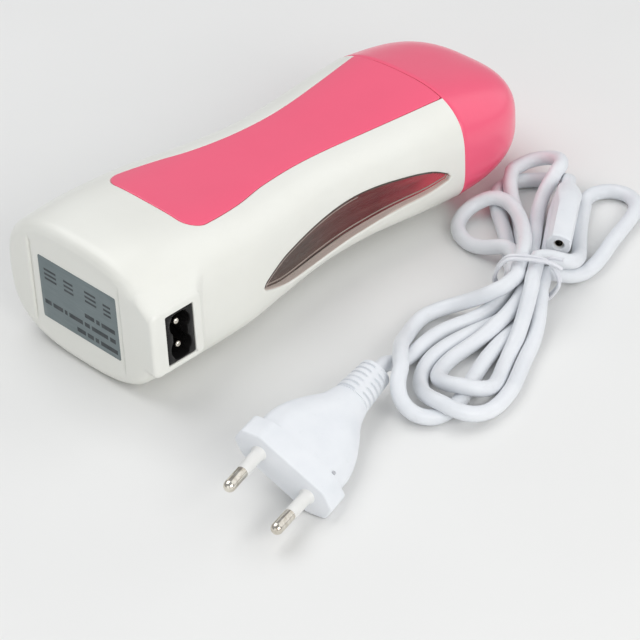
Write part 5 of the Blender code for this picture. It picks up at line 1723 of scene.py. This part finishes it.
def settle(route):
    """Let the drawn cord come to rest: it lies on the surface and on itself, and keeps its own length."""
    line = np.array([tuple(point) for point in through(route, CORD_PIECE)])
    drawn = line.copy()
    piece = np.linalg.norm(np.diff(line, axis=0), axis=1).mean()
    turn = math.radians(TIE_TURN)
    from_tie = line[:, :2] - np.array(TIE_AT)
    along = from_tie @ np.array((math.cos(turn), math.sin(turn)))
    near_tie = np.linalg.norm(from_tie, axis=1) < 1.5 * TIE_RUN
    free = np.where((abs(along) < TIE_RUN - 1) & near_tie, 0.0, 1.0)
    free[:3] = 0.0
    free[-3:] = 0.0
    pairs = np.triu_indices(len(line), CORD_NEIGHBOURS)
    for k in range(SETTLE_ROUNDS):
        pull = SETTLE_PULL * (1 - 0.7 * k / SETTLE_ROUNDS)
        line += free[:, None] * ((drawn - line) * (pull, pull, 0.0) - (0.0, 0.0, SETTLE_SAG))
        line += free[:, None] * stiffen(line, piece)
        line += free[:, None] * keep_spacing(line, piece)
        for _ in range(2):
            line += part_strands(line, free, pairs)
        for clear in (clear_boot, clear_connector, clear_cap):
            line += free[:, None] * clear(line)
        line[:, 2] = np.maximum(line[:, 2], CORD_RADIUS + CORD_LIFT)
    return [Vector(point) for point in line]


def tube_curve(name, line, radius, mat, sides_level):
    """A round tube along a line, as a curve object."""
    curve = bpy.data.curves.new(name, "CURVE")
    curve.dimensions = "3D"
    curve.bevel_depth = radius * MM
    curve.bevel_resolution = sides_level
    curve.use_fill_caps = True
    spline = curve.splines.new("POLY")
    spline.points.add(len(line) - 1)
    for knot, point in zip(spline.points, place(line)):
        knot.co = (*point, 1.0)
    curve.materials.append(mat)
    return add_object(name, curve)


def make_cord(mats):
    """The cord, where it leaves the plug's boot and its length, in metres."""
    settled = settle(lead_route())
    line = settled[:1] + through(settled[2:-2], CORD_STEP) + settled[-1:]
    cord = tube_curve("mains_cord", line, CORD_RADIUS, mats["cord"], 7)
    attach(cord, "heater", ["power_cord"])
    length = sum((b - a).length for a, b in zip(line, line[1:])) * MM
    return cord, tuple(place([line[0]])[0]), length


def make_tie(mats):
    """The twist tie: two turns of thin covered wire round the bundle, with its ends standing off."""
    turn = list(TIE_OUTLINE) + [(-across, height) for across, height in reversed(TIE_OUTLINE[1:])]
    points = [tie_frame(*point) for point in TIE_START]
    for k, (across, height) in enumerate(turn * 2):
        points.append(tie_frame(TIE_PITCH * (k / len(turn) - 1), across, height))
    points.append(tie_frame(*TIE_END))
    tie = tube_curve("wire_tie", through(points, 0.8), TIE_RADIUS, mats["tie"], 5)
    return attach(tie, "heater", ["twist_tie"])


# ---------------------------------------------------------------- carried-over parts


def finish_inner_parts(mats):
    """Give the CAD nodes that stay their finish."""
    looks = {
        "steel": ("back_screw_1", "back_screw_2", "thermostat", "thermal_fuse"),
        "aluminium": ("heating_chamber",),
        "inner": ("chamber_bulkhead",),
        "spring": ("cartridge_spring",),
        "ceramic": ("ptc_heater",),
        "insulation": ("insulation_pad",),
        "nickel": ("crimp_live", "crimp_neutral", "connector_contact_upper", "connector_contact_lower"),
        "live": ("wire_live", "wire_link"),
        "neutral": ("wire_neutral", "wire_heater"),
    }
    for look, names in looks.items():
        for name in names:
            slots = frame["nodes"][name].data.materials
            slots.clear()
            slots.append(mats[look])


def main():
    """Build every piece."""
    make_camera()
    mats = make_materials()
    cord, leaves, length = make_cord(mats)
    for make in (make_plug, make_boot, make_connector, make_tie, make_casing, make_inlays, make_cap,
                 make_neck, make_inlet, make_label, finish_inner_parts):
        make(mats)
    make_studio()


main()
